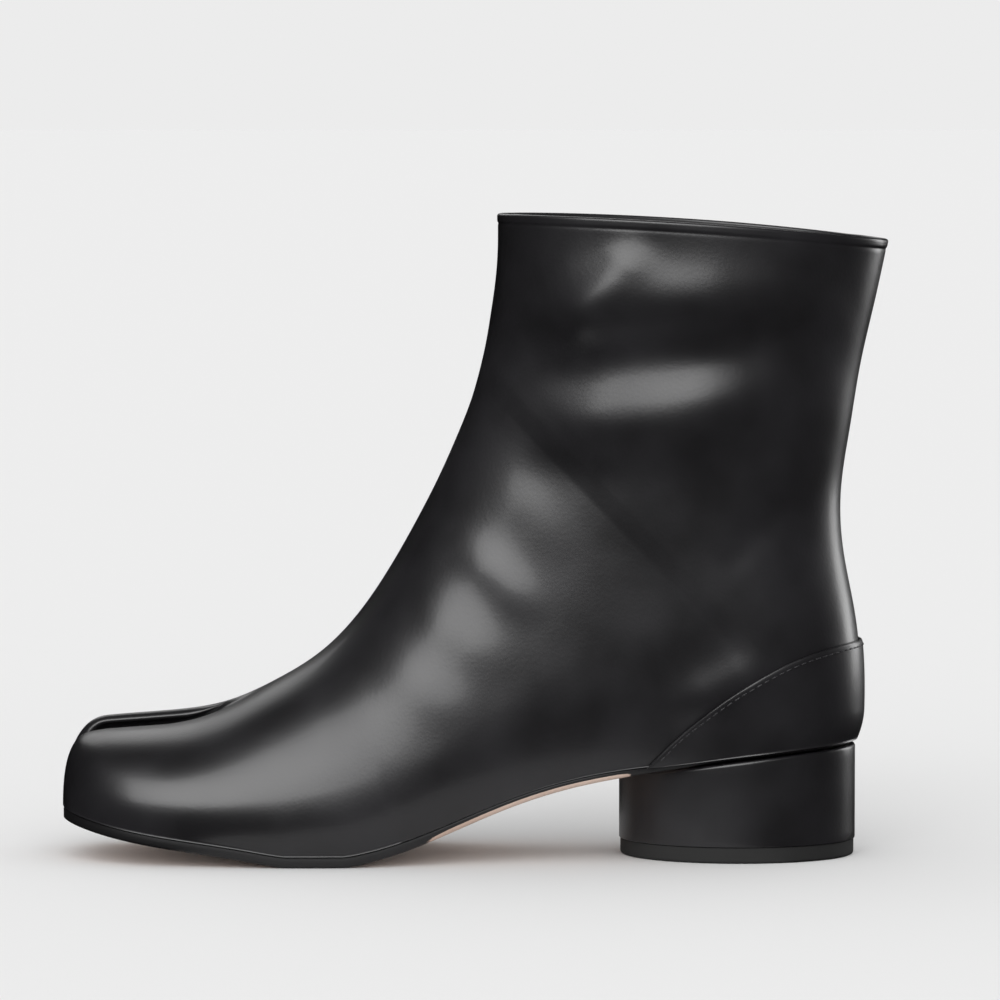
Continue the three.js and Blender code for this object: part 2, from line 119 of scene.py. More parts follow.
def bisect(rises: "callable", low: Array, high: Array, rounds: int = 32) -> Array:
    """Halves a bracket around the value at which something turns positive.

    Args:
        rises: Gives a number for each value that is negative below the one sought and positive above it.
        low: Lower ends of the brackets.
        high: Upper ends of the brackets.
        rounds: How many times the bracket is halved.

    Returns:
        The values sought.
    """
    for _ in range(rounds):
        middle = (low + high) / 2
        above = rises(middle) > 0
        high = np.where(above, middle, high)
        low = np.where(above, low, middle)
    return (low + high) / 2


class Side(Enum):
    """The two sides of the boot, as the sign of y."""

    OUTER = -1
    INNER = 1


# ---------------------------------------------------------------------------------------------------------------------
# The last
# ---------------------------------------------------------------------------------------------------------------------

# front, rise, path, outer, inner, crown, power, tuck on the outer side, tuck on the inner side, ridge: the same shares
# that the CAD's sections have, from the toe tip to just above the collar
SECTIONS = np.array([
    [0, -0.026, 0, 0.4, 0.34, 0.92, 2.5, 0.05, 0.05, 0.033],
    [0.012, -0.023, 0.0123, 0.41, 0.345, 0.92, 2.5, 0.05, 0.05, 0.033],
    [0.056, -0.015, 0.0572, 0.44, 0.36, 0.92, 2.5, 0.055, 0.055, 0.033],
    [0.124, -0.008, 0.1267, 0.48, 0.39, 0.92, 2.45, 0.06, 0.06, 0.033],
    [0.2, 0.004, 0.204, 0.51, 0.43, 0.95, 2.35, 0.07, 0.07, 0.035],
    [0.264, 0.054, 0.282, 0.53, 0.463, 0.97, 2.25, 0.08, 0.08, 0.045],
    [0.324, 0.11, 0.368, 0.533, 0.465, 0.95, 2.15, 0.09, 0.11, 0.055],
    [0.374, 0.199, 0.462, 0.51, 0.437, 0.88, 2.08, 0.11, 0.18, 0.055],
    [0.414, 0.302, 0.564, 0.468, 0.41, 0.76, 2, 0.14, 0.24, 0.05],
    [0.444, 0.391, 0.666, 0.43, 0.398, 0.66, 2, 0.16, 0.22, 0.038],
    [0.469, 0.47, 0.78, 0.412, 0.395, 0.6, 2, 0.17, 0.19, 0.025],
    [0.492, 0.556, 0.885, 0.403, 0.395, 0.56, 2, 0.17, 0.17, 0.012],
    [0.508, 0.62, 0.963, 0.401, 0.399, 0.54, 2, 0.17, 0.17, 0],
    [0.517, 0.672, 1.003, 0.403, 0.402, 0.53, 2, 0.17, 0.17, 0],
    [0.524, 0.718, 1.05, 0.408, 0.408, 0.53, 2, 0.17, 0.17, 0],
    [0.529, 0.76, 1.145, 0.415, 0.415, 0.52, 2, 0.17, 0.17, 0],
    [0.533, 0.803, 1.27, 0.423, 0.423, 0.52, 2.02, 0.17, 0.17, 0],
    [0.537, 0.845, 1.41, 0.431, 0.431, 0.52, 2.04, 0.17, 0.17, 0],
    [0.54, 0.888, 1.555, 0.44, 0.44, 0.52, 2.06, 0.17, 0.17, 0],
    [0.5415, 0.932, 1.702, 0.449, 0.449, 0.52, 2.08, 0.17, 0.17, 0],
    [0.5415, 0.976, 1.85, 0.458, 0.458, 0.52, 2.1, 0.17, 0.17, 0],
    [0.541, 1.02, 2, 0.467, 0.467, 0.52, 2.1, 0.17, 0.17, 0],
])
# The sole's underside as shares of the toe spring and of the seat's height, and its thickness as a share
SOLE_TOE = np.array([1, 0.63, 0.39, 0.18, -0.08, 0, 0, 0, 0, 0, 0, 0, 0, 0])
SOLE_SEAT = np.array([0, 0, 0, 0, -0.02, 0.02, 0.215, 0.46, 0.645, 0.752, 0.832, 0.91, 0.968, 1])
SOLE_THICK = np.array([1, 1, 1, 1, 1, 1, 0.95, 0.85, 0.8, 0.75, 0.45, 0.38, 0.38, 0.38])
BACK_LINE = np.array([0.9912, 0.994, 0.9874, 0.9682, 0.9645, 0.9793, 0.9895, 1.009, 1.0248])


@dataclass(frozen=True)
class Section:
    """Sections of the last: their two ends in the side view, and their sizes, each as an array."""

    low_x: Array
    low_z: Array
    high_x: Array
    high_z: Array
    outer: Array
    inner: Array
    crown: Array
    power: Array
    tuck_out: Array
    tuck_in: Array
    ridge: Array


@dataclass(frozen=True)
class Last:
    """The form that every leather piece is drawn over, with the sizes of the CAD source."""

    length: float = 250
    ball_width: float = 90
    toe_top: float = 45
    collar_front: float = 199
    collar_back: float = 191
    collar_crown: float = 1.6
    toe_spring: float = 12.2
    seat_height: float = 35.2
    sole_thickness: float = 3.3
    skirt: float = 8
    rim_spare: float = 6
    nose_height: tuple[float, float] = (14, 2.5)
    nose_width: tuple[float, float] = (36, 2.8)
    seat_round: float = 33
    shaft_round: float = 62
    seat_round_end: float = 0.45
    flare: float = 0.32
    back_tuck: float = 1.8
    back_tuck_rise: float = 9
    split_length: float = 47.5
    split_gap: float = 1.7
    split_roll: float = 5
    split_web: float = 15
    lobe_drop: float = 3.5
    clearance: float = 0.3
    soft: float = 0.8

    def sole_bottom(self, x: Array) -> Array:
        """Height of the sole's underside at a distance behind the toe tip."""
        share = x / self.length
        height = self.toe_spring * spline(SOLE_TOE, share) + self.seat_height * spline(SOLE_SEAT, share)
        return np.maximum(0, height)

    def sole_top(self, x: Array) -> Array:
        """Height of the sole's top at a distance behind the toe tip."""
        return self.sole_bottom(x) + self.sole_thickness * spline(SOLE_THICK, x / self.length)

    @property
    def seat_top(self) -> float:
        """Height of the sole's top at the back of the heel."""
        return float(self.sole_top(np.array(self.length)))

    @property
    def seat_back(self) -> float:
        """Distance from the toe tip to the back of the last at the sole."""
        return float(self.back_line(np.array(self.seat_top)))

    @property
    def split_line(self) -> float:
        """How far the split lies to the inner side of the middle."""
        return SECTIONS[0, 9] * self.ball_width

    def back_line(self, z: Array) -> Array:
        """The back of the last at a height, drawn in a little just above the sole."""
        above = z - self.seat_top
        tuck = self.back_tuck * (1 - clamp(above / self.back_tuck_rise)) ** 2
        return self.length * spline(BACK_LINE, above / (self.collar_back - self.seat_top)) - tuck

    def sections(self, share: Array) -> Section:
        """The sections at shares of the way from the toe tip to just above the collar.

        Args:
            share: Shares, of any shape.

        Returns:
            The sections, each size with the shape of share.
        """
        columns = [spline(SECTIONS[:, k], share) for k in range(10)]
        front, rise, path, outer, inner, crown, power, tuck_out, tuck_in, ridge = columns
        high_x = front * self.length
        line = self.toe_top + rise * (self.collar_front - self.toe_top)
        high_z = lerp(self.sole_top(high_x), line, rounding(high_x, *self.nose_height))
        sole_x = path * self.seat_back
        climb = self.collar_back + self.rim_spare - self.seat_top + self.skirt
        back_z = self.seat_top - self.skirt + (path - 1) * climb
        behind = path > 1
        low_x = np.where(behind, self.back_line(back_z), sole_x)
        low_z = np.where(behind, back_z, self.sole_top(sole_x) - self.skirt)
        width = self.ball_width
        return Section(
            low_x, low_z, high_x, high_z, outer * width, inner * width, crown, power, tuck_out, tuck_in, ridge * width
        )

    def narrowing(self, x: Array, z: Array, tuck: Array, flare: Array) -> Array:
        """How much of a section's width is left at a point of the side view, for the nose, the sole and the back."""
        above = z - self.sole_top(x)
        drawn_in = 1 - tuck * (1 - clamp(above / flare)) ** 2
        climb = (z - self.seat_top) / (self.collar_back - self.seat_top)
        length = lerp(self.seat_round, self.shaft_round, smoothstep(climb, 0, self.seat_round_end))
        return drawn_in * rounding(x, *self.nose_width) * rounding(self.back_line(z) - x, length, 2)

    def surface(self, section: Section, turn: Array, side: Side) -> Array:
        """Points of the last on one side of its sections.

        The crown is a quarter of a superellipse in turn from 0, the ridge, to a quarter turn, where the wall starts.
        The wall falls along the sine of turn to the section's lower end at half a turn.

        Args:
            section: The sections.
            turn: The angle down each section, from 0 to pi.
            side: The side of the boot.

        Returns:
            An array of points, with a last axis of 3.
        """
        quarter = np.pi / 2
        share = np.sin(np.minimum(turn, quarter))
        height = (1 - share**section.power) ** (1 / section.power)
        wall = (1 - section.crown) * (1 - np.sin(np.maximum(turn - quarter, 0)))
        along = np.where(turn < quarter, 1 - section.crown * (1 - height), wall)
        share = self.spread(section, along)
        x = lerp(section.low_x, section.high_x, along)
        z = lerp(section.low_z, section.high_z, along)
        return np.stack([x, self.width_at(section, x, z, share, side), z], axis=-1)

    def spread(self, section: Section, along: Array) -> Array:
        """The share of the half width at points of the sections, with crown and wall blended into each other.

        Args:
            section: The sections.
            along: Shares of the way up them.

        Returns:
            The p-th root of 1 - h^p. h is the height over the crown's foot, (a + hypot(a, b)) / 2, in which a is
            that height as a share of the crown, negative in the wall, and b fades the corner between them.
        """
        height = 1 - (1 - along) / section.crown
        soft = self.soft * (1 - section.crown) * np.sqrt(clamp(1 - height))
        height = np.minimum((height + np.hypot(height, soft)) / 2, 1)
        return (1 - height**section.power) ** (1 / section.power)

    def width_at(self, section: Section, x: Array, z: Array, share: Array, side: Side) -> Array:
        """The y of a point of the side view that lies at a share of its section's half width."""
        outer = side is Side.OUTER
        half = section.outer + section.ridge if outer else section.inner - section.ridge
        tuck = section.tuck_out if outer else section.tuck_in
        flare = self.flare * np.hypot(section.high_x - section.low_x, section.high_z - section.low_z)
        return section.ridge + side.value * half * share * self.narrowing(x, z, tuck, flare)

    def cut_turn(self, share: Array) -> Array:
        """The angle down each section at which it meets the sole, or half a turn where it ends on the back line."""
        return np.interp(share, *self.cut_table())

    @cache
    def cut_table(self) -> tuple[Array, Array]:
        """Even shares along the last, and the angle at which the section at each meets the sole."""
        table = np.linspace(0, 1, 3000)
        section = self.sections(table)

        def above_sole(along: Array) -> Array:
            """Height above the leather's lower edge at a share of the way up the sections."""
            x = lerp(section.low_x, section.high_x, along)
            return lerp(section.low_z, section.high_z, along) - self.sole_top(x) - self.clearance

        along = bisect(above_sole, np.zeros_like(table), np.ones_like(table))
        along = np.where(above_sole(np.zeros_like(table)) > 0, 0, along)
        wall = np.pi / 2 + np.arcsin(clamp(1 - along / (1 - section.crown)))
        height = clamp(1 - (1 - along) / section.crown)
        crown = np.arcsin((1 - height**section.power) ** (1 / section.power))
        return table, np.where(along < 1 - section.crown, wall, crown)

    def collar(self, x: Array) -> Array:
        """Height of the collar's rim: a straight fall from front to back with a slight bow."""
        front = SECTIONS[-1, 0] * self.length
        back = float(self.back_line(np.array(self.collar_back)))
        share = (x - front) / (back - front)
        fall = (self.collar_back - self.collar_front) * share
        return self.collar_front + fall + 4 * self.collar_crown * share * (1 - share)

    def lobe_lowering(self, points: Array) -> Array:
        """How much lower the outer toe's lobe is at points of the toe box."""
        x, y, z = np.moveaxis(points, -1, 0)
        across = smoothstep(self.split_line - y, -self.split_gap, self.split_gap)
        along = smoothstep(x, 0, self.split_length / 4)
        along = along * (1 - smoothstep(x, self.split_length * 0.65, self.split_length * 1.4))
        base = self.sole_top(x)
        share = clamp((z - base) / np.maximum(self.toe_top - base, 1e-6))
        return self.lobe_drop * across * along * share * share * (3 - 2 * share)

    def roll_depth(self, points: Array) -> Array:
        """How deep the leather is rolled into the split: a quarter circle on each side, fading behind the split."""
        x, y, _ = np.moveaxis(points, -1, 0)
        inside = self.split_roll - np.maximum(0, np.abs(y - self.split_line) - self.split_gap / 2)
        inside = np.clip(inside, 0, self.split_roll)
        end = self.split_length + self.split_roll
        fade = 1 - smoothstep(x, self.split_length - 2 * self.split_roll, end)
        return fade * (self.split_roll - np.sqrt(self.split_roll**2 - inside**2))

    def side_points(self, x: Array, z: Array, side: Side) -> Array:
        """Points of the last over places in its side view, found by the section that passes through each."""

        def past(share: Array) -> Array:
            """Positive where the section at a share lies behind the place."""
            s = self.sections(share)
            return (s.high_x - s.low_x) * (z - s.low_z) - (s.high_z - s.low_z) * (x - s.low_x)

        section = self.sections(bisect(past, np.zeros_like(x), np.ones_like(x)))
        run, climb = section.high_x - section.low_x, section.high_z - section.low_z
        along = ((x - section.low_x) * run + (z - section.low_z) * climb) / (run**2 + climb**2)
        share = self.spread(section, clamp(along))
        return np.stack([x, self.width_at(section, x, z, share, side), z], axis=-1)

    def footprint(self, x: Array, inset: Array) -> tuple[Array, Array]:
        """The y of the leather's two sides where it meets the sole, drawn in by an inset.

        Args:
            x: Distances behind the toe tip.
            inset: How far to draw the outline in, in each place.

        Returns:
            The y of the outer side and of the inner side.
        """
        table = np.linspace(0, 1, 3000)
        path = spline(SECTIONS[:, 2], table) * self.seat_back
        section = self.sections(np.interp(x, path, table))
        z = self.sole_top(x)
        outer_half = (section.outer + section.ridge) * self.narrowing(x, z, section.tuck_out, np.ones_like(x))
        inner_half = (section.inner - section.ridge) * self.narrowing(x, z, section.tuck_in, np.ones_like(x))
        outer = section.ridge - np.maximum(0, outer_half - inset)
        return outer, section.ridge + np.maximum(0, inner_half - inset)


LAST = Last()


# ---------------------------------------------------------------------------------------------------------------------
# Meshes
# ---------------------------------------------------------------------------------------------------------------------


@dataclass
class Patch:
    """Points in millimetres, and groups of faces that each have as many corners and one finish."""

    points: Array
    faces: list[Array] = field(default_factory=list)
    finishes: list[int] = field(default_factory=list)
    marks: dict[str, Array] = field(default_factory=dict)

    def add(self, faces: Array, finish: int = 0) -> "Patch":
        """Adds a group of faces.

        Args:
            faces: Point numbers, one row a face.
            finish: Which of the piece's materials they take.

        Returns:
            The patch itself.
        """
        self.faces.append(np.asarray(faces, int))
        self.finishes.append(finish)
        return self

    def welded(self, grain: float = 1e-3) -> "Patch":
        """The patch with points that meet merged, and faces that have lost a side mended or left out.

        Args:
            grain: Points that round to the same multiple of this length are one.

        Returns:
            A new patch, in which a quad with two equal corners has become a triangle.
        """
        _, first, number = np.unique(np.round(self.points / grain), axis=0, return_index=True, return_inverse=True)
        number = number.reshape(-1)
        new = Patch(self.points[first], marks={name: mark[first] for name, mark in self.marks.items()})
        for faces, finish in zip(self.faces, self.finishes):
            corners = number[faces]
            broken = (corners == np.roll(corners, -1, axis=1)).any(axis=1)
            if faces.shape[1] == 4:
                broken |= (corners[:, 0] == corners[:, 2]) | (corners[:, 1] == corners[:, 3])
                halves = np.concatenate([corners[broken][:, [0, 1, 2]], corners[broken][:, [0, 2, 3]]])
                a, b, c = halves.T
                new.add(halves[(a != b) & (b != c) & (c != a)], finish)
            new.add(corners[~broken], finish)
        return new


def joined(patches: list[Patch]) -> Patch:
    """Several patches as one, each keeping its finishes and marks."""
    start = 0
    whole = Patch(np.concatenate([patch.points for patch in patches]))
    for patch in patches:
        for faces, finish in zip(patch.faces, patch.finishes):
            whole.add(faces + start, finish)
        start += len(patch.points)
    for name in patches[0].marks:
        whole.marks[name] = np.concatenate([patch.marks[name] for patch in patches])
    return whole


def grid_faces(numbers: Array, flip: bool = False) -> Array:
    """The quads of a grid of point numbers.

    Args:
        numbers: Point numbers in rows and columns.
        flip: Turns the faces over.

    Returns:
        One row of four corners for each square of the grid.
    """
    quads = np.stack([numbers[:-1, :-1], numbers[1:, :-1], numbers[1:, 1:], numbers[:-1, 1:]], axis=-1).reshape(-1, 4)
    return quads[:, ::-1] if flip else quads


def grid_patch(points: Array, flip: bool = False, around: bool = False) -> Patch:
    """A patch from a grid of points.

    Args:
        points: Points in rows and columns.
        flip: Turns the faces over.
        around: Joins the last column to the first.

    Returns:
        The patch, not welded.
    """
    rows, columns, _ = points.shape
    numbers = np.arange(rows * columns).reshape(rows, columns)
    if around:
        numbers = np.concatenate([numbers, numbers[:, :1]], axis=1)
    return Patch(points.reshape(-1, 3)).add(grid_faces(numbers, flip))


def point_normals(points: Array, faces: Array, count: int) -> Array:
    """Unit normals of points from the quads around them, the larger ones counting for more.

    Args:
        points: The points.
        faces: The quads.
        count: How many points there are.

    Returns:
        One unit normal for each point.
    """
    a, b, c, d = (points[faces[:, k]] for k in range(4))
    across = np.cross(c - a, d - b)
    total = np.zeros((count, 3))
    for k in range(4):
        for axis in range(3):
            total[:, axis] += np.bincount(faces[:, k], across[:, axis], count)
    return total / np.maximum(np.linalg.norm(total, axis=1, keepdims=True), 1e-12)


def make_piece(name: str, patch: Patch, finishes: list["Finish"], node: str | None = None) -> bpy.types.Object:
    """Args:
        name: Name of the piece.
        patch: Its mesh in the boot's own millimetres.
        finishes: Its materials, in the order that its faces name them.
        node: The CAD node that it stands for, if any.

    Returns:
        The object.
    """
    mesh = bpy.data.meshes.new(name)
    faces = [row for group in patch.faces for row in group.tolist()]
    mesh.from_pydata(((patch.points - FRAME_ORIGIN) * MM).tolist(), [], faces)
    kinds = np.concatenate([np.full(len(group), kind) for group, kind in zip(patch.faces, patch.finishes)])
    mesh.polygons.foreach_set("material_index", kinds.astype(np.int32))
    mesh.polygons.foreach_set("use_smooth", np.ones(len(faces), bool))
    for mark, values in patch.marks.items():
        mesh.attributes.new(mark, "FLOAT", "POINT").data.foreach_set("value", values.astype(np.float32))
    for finish in finishes:
        mesh.materials.append(finish.material())
    mesh.update()
    piece = bpy.data.objects.new(name, mesh)
    bpy.context.scene.collection.objects.link(piece)
    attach(piece, "root")
    if node:
        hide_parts(node)
    log.info("%s: %d points, %d faces", name, len(patch.points), len(faces))
    return piece


# ---------------------------------------------------------------------------------------------------------------------
# Finishes
# ---------------------------------------------------------------------------------------------------------------------


def colour(code: str) -> tuple[float, float, float, float]:
    """An sRGB hex colour as linear red, green, blue and alpha."""
    values = np.array([int(code[i : i + 2], 16) / 255 for i in (1, 3, 5)])
    linear = np.where(values <= 0.04045, values / 12.92, ((values + 0.055) / 1.055) ** 2.4)
    return (*linear.tolist(), 1.0)


def add_node(tree: bpy.types.NodeTree, kind: str, settings: dict | None = None, **inputs: object) -> bpy.types.Node:
    """Adds a shader node.

    Args:
        tree: The node tree.
        kind: The node's type without its "ShaderNode" beginning.
        settings: Properties of the node, and ramp stops under the key "stops".
        inputs: Values or sockets for its inputs, named with underscores for spaces, or in_0, in_1 by place.

    Returns:
        The node.
    """
    node = tree.nodes.new("ShaderNode" + kind)
    for key, value in (settings or {}).items():
        if key == "stops":
            ramp = node.color_ramp
            while len(ramp.elements) < len(value):
                ramp.elements.new(0.5)
            for element, (place, shade) in zip(ramp.elements, value):
                element.position = place
                element.color = shade if isinstance(shade, tuple) else (shade, shade, shade, 1)
        else:
            setattr(node, key, value)
    for key, value in inputs.items():
        socket = node.inputs[int(key[3:])] if key.startswith("in_") else node.inputs[key.replace("_", " ")]
        if isinstance(value, bpy.types.NodeSocket):
            tree.links.new(value, socket)
        else:
            socket.default_value = value
    return node


@dataclass(frozen=True)
class Finish:
    """A material of the boot: what each has in common is its name, its IOR and its base roughness."""

    name: str
    roughness: float
    ior: float = 1.5

    def material(self) -> bpy.types.Material:
        """The material, made once and then reused."""
        found = bpy.data.materials.get(self.name)
        if found:
            return found
        made = bpy.data.materials.new(self.name)
        made.use_nodes = True
        made.node_tree.nodes.clear()
        self.dress(made.node_tree)
        return made

    def dress(self, tree: bpy.types.NodeTree) -> None:
        """Fills the material's node tree; each finish has its own."""
        raise NotImplementedError

    def close(self, tree: bpy.types.NodeTree, **inputs: object) -> bpy.types.Node:
        """Adds the shader and the output, and returns the shader."""
        shader = add_node(tree, "BsdfPrincipled", IOR=self.ior, **inputs)
        add_node(tree, "OutputMaterial", Surface=shader.outputs[0])
        return shader


@dataclass(frozen=True)
class BoxCalf(Finish):
    """Box calf: chrome-tanned calfskin, dyed black, plated and polished.

    The eye sees a deep black with soft broad highlights, a very fine pebble from the hair cells and faint cloudiness
    where the polish is thinner.
    """

    pore: float = 0.9  # mm between hair cells; the real ones are 0.3 mm apart, too fine to show here
    cloud: float = 26  # mm across a patch of thinner polish
    depth: float = 0.05  # mm of relief
    dye: str = "#19181a"
    thin_dye: str = "#212023"

    def dress(self, tree: bpy.types.NodeTree) -> None:
        """Hair cells as bump, cloudy polish in roughness and colour."""
        place = add_node(tree, "TexCoord").outputs["Object"]
        cells = add_node(tree, "TexVoronoi", {"feature": "SMOOTH_F1"}, Vector=place, Scale=1 / (self.pore * MM), Smoothness=1.0)
        fine = add_node(tree, "TexNoise", Vector=place, Scale=1 / (2.4 * self.pore * MM), Detail=3.0, Roughness=0.55)
        clouds = add_node(tree, "TexNoise", Vector=place, Scale=1 / (self.cloud * MM), Detail=2.0, Roughness=0.5)
        relief = add_node(tree, "Math", {"operation": "ADD"}, in_0=cells.outputs["Distance"], in_1=fine.outputs[0])
        bump = add_node(tree, "Bump", Height=relief.outputs[0], Strength=0.35, Distance=self.depth * MM)
        low, high = self.roughness - 0.035, self.roughness + 0.05
        polish = add_node(tree, "MapRange", Value=clouds.outputs[0], From_Min=0.3, From_Max=0.7, To_Min=low, To_Max=high)
        shade = add_node(tree, "ValToRGB", {"stops": [(0.35, colour(self.dye)), (0.7, colour(self.thin_dye))]},
                         Fac=clouds.outputs[0])
        self.close(tree, Base_Color=shade.outputs[0], Roughness=polish.outputs[0], Normal=bump.outputs[0],
                   Coat_Weight=0.12, Coat_Roughness=0.16)


@dataclass(frozen=True)
class LiningCalf(Finish):
    """Lining calf: drum-dyed and left unpolished, so it is a flat soft black with a nap."""

    dye: str = "#171618"
    worn: str = "#222023"
    nap: float = 1.6  # mm across a tuft of the nap

    def dress(self, tree: bpy.types.NodeTree) -> None:
        """Nap as noise in colour and bump, and a weak sheen."""
        place = add_node(tree, "TexCoord").outputs["Object"]
        nap = add_node(tree, "TexNoise", Vector=place, Scale=1 / (self.nap * MM), Detail=4.0, Roughness=0.65)
        shade = add_node(tree, "ValToRGB", {"stops": [(0.3, colour(self.dye)), (0.75, colour(self.worn))]}, Fac=nap.outputs[0])
        bump = add_node(tree, "Bump", Height=nap.outputs[0], Strength=0.4, Distance=0.12 * MM)
        self.close(tree, Base_Color=shade.outputs[0], Roughness=self.roughness, Normal=bump.outputs[0], Sheen_Weight=0.08)


@dataclass(frozen=True)
class SoleBend(Finish):
    """Sole bend: oak-bark tanned ox hide, rolled hard. Its edge is trimmed, inked black and ironed; the face is left
    natural. The mark "ink" is 1 on the edge and 0 on the face, and the ink bleeds a little along the fibres."""

    natural: str = "#cdb7aa"
    tanned: str = "#b49a8b"
    ink: str = "#151416"
    fibre: float = 1.4  # mm across a bundle of fibres
    stain: float = 22  # mm across a darker patch

    def dress(self, tree: bpy.types.NodeTree) -> None:
        """Mottled natural leather under black ink."""
        place = add_node(tree, "TexCoord").outputs["Object"]
        inked = add_node(tree, "Attribute", {"attribute_name": "ink"}).outputs["Fac"]
        stain = add_node(tree, "TexNoise", Vector=place, Scale=1 / (self.stain * MM), Detail=3.0, Roughness=0.6)
        fibre = add_node(tree, "TexNoise", Vector=place, Scale=1 / (self.fibre * MM), Detail=4.0, Roughness=0.7)
        mottle = add_node(tree, "Math", {"operation": "MULTIPLY_ADD"}, in_0=fibre.outputs[0], in_1=0.35, in_2=stain.outputs[0])
        hide = add_node(tree, "ValToRGB", {"stops": [(0.45, colour(self.tanned)), (0.85, colour(self.natural))]},
                        Fac=mottle.outputs[0])
        bleed = add_node(tree, "Math", {"operation": "MULTIPLY_ADD"}, in_0=fibre.outputs[0], in_1=0.3, in_2=inked)
        cover = add_node(tree, "MapRange", Value=bleed.outputs[0], From_Min=0.58, From_Max=0.72)
        black = add_node(tree, "Mix", {"data_type": "RGBA"}, Factor=cover.outputs[0], in_6=hide.outputs[0], in_7=colour(self.ink))
        gloss = add_node(tree, "MapRange", Value=cover.outputs[0], To_Min=self.roughness, To_Max=0.52)
        bump = add_node(tree, "Bump", Height=fibre.outputs[0], Strength=0.3, Distance=0.08 * MM)
        self.close(tree, Base_Color=black.outputs[2], Roughness=gloss.outputs[0], Normal=bump.outputs[0])


@dataclass(frozen=True)
class LiftRubber(Finish):
    """Top-piece rubber: compression-moulded black rubber, buffed at its edge, so it is dull and slightly grey."""

    shade: str = "#131314"
    dusty: str = "#1b1b1b"
    grit: float = 0.8  # mm between buffing marks

    def dress(self, tree: bpy.types.NodeTree) -> None:
        """A fine grit in colour and bump."""
        place = add_node(tree, "TexCoord").outputs["Object"]
        grit = add_node(tree, "TexNoise", Vector=place, Scale=1 / (self.grit * MM), Detail=3.0, Roughness=0.6)
        shade = add_node(tree, "ValToRGB", {"stops": [(0.35, colour(self.shade)), (0.8, colour(self.dusty))]}, Fac=grit.outputs[0])
        bump = add_node(tree, "Bump", Height=grit.outputs[0], Strength=0.4, Distance=0.06 * MM)
        self.close(tree, Base_Color=shade.outputs[0], Roughness=self.roughness, Normal=bump.outputs[0])


@dataclass(frozen=True)
class WaxedThread(Finish):
    """Waxed thread: three-ply polyester, waxed black. The plies catch light as slanting bands, and that light is
    painted into the colour as a painted highlight over their bump.
    """

    shade: str = "#1d1c1e"
    # painted highlight: the lighter colour of the ply crests where they catch light
    painted_ply_highlight: str = "#343236"
    ply: float = 0.5  # mm between plies

    def dress(self, tree: bpy.types.NodeTree) -> None:
        """Slanting bands for the plies: a painted highlight in the colour, and bump."""
        place = add_node(tree, "TexCoord").outputs["Object"]
        twist = add_node(tree, "TexWave", {"bands_direction": "DIAGONAL"}, Vector=place, Scale=0.32 / (self.ply * MM), Distortion=0.5)
        # the lighter bands of this ramp are painted highlight on the plies
        shade = add_node(tree, "ValToRGB", {"stops": [(0.2, colour(self.shade)), (0.8, colour(self.painted_ply_highlight))]}, Fac=twist.outputs[0])
        bump = add_node(tree, "Bump", Height=twist.outputs[0], Strength=0.5, Distance=0.1 * MM)
        self.close(tree, Base_Color=shade.outputs[0], Roughness=self.roughness, Normal=bump.outputs[0])


CALF = BoxCalf("box_calf", 0.36)
LINING = LiningCalf("lining_calf", 0.62)
SOLE = SoleBend("sole_bend", 0.62)
RUBBER = LiftRubber("lift_rubber", 0.55)
THREAD = WaxedThread("waxed_thread", 0.45)


# ---------------------------------------------------------------------------------------------------------------------
# The leather
# ---------------------------------------------------------------------------------------------------------------------


@dataclass(frozen=True)
class Crease:
    """A soft fold of the leather, drawn in the side view.

    The surface moves along its normal by depth times a bell curve of the distance to the line over width, tapered to
    nothing at both ends of the line. A positive depth is a trough and a negative one a ridge.
    """

    line: tuple[tuple[float, float], ...]
    depth: float
    width: float
    side: Side
    taper: float = 0.3

    def push(self, x: Array, z: Array) -> Array:
        """How far the surface moves inwards at places in the side view.

        Args:
            x: Distances behind the toe tip.
            z: Heights.

        Returns:
            The depth of the fold at each place.
        """
        corners = np.array(self.line, float)
        steps = np.linspace(0, 1, 4 * len(corners))
        path = np.stack([spline(corners[:, k], steps) for k in (0, 1)], axis=-1)
        path[0], path[-1] = corners[0], corners[-1]
        starts, runs = path[:-1], np.diff(path, axis=0)
        lengths = np.linalg.norm(runs, axis=1)
        before = np.concatenate([[0], np.cumsum(lengths)])
        best = np.full(x.shape, np.inf)
        at = np.zeros(x.shape)
        for start, run, length, gone in zip(starts, runs, lengths, before):
            share = clamp(((x - start[0]) * run[0] + (z - start[1]) * run[1]) / length**2)
            gap = np.hypot(x - start[0] - share * run[0], z - start[1] - share * run[1])
            nearer = gap < best
            best = np.where(nearer, gap, best)
            at = np.where(nearer, gone + share * length, at)
        at = at / before[-1]
        ends = smoothstep(at, 0, self.taper) * (1 - smoothstep(at, 1 - self.taper, 1))
        return self.depth * ends * np.exp(-((best / self.width) ** 2))


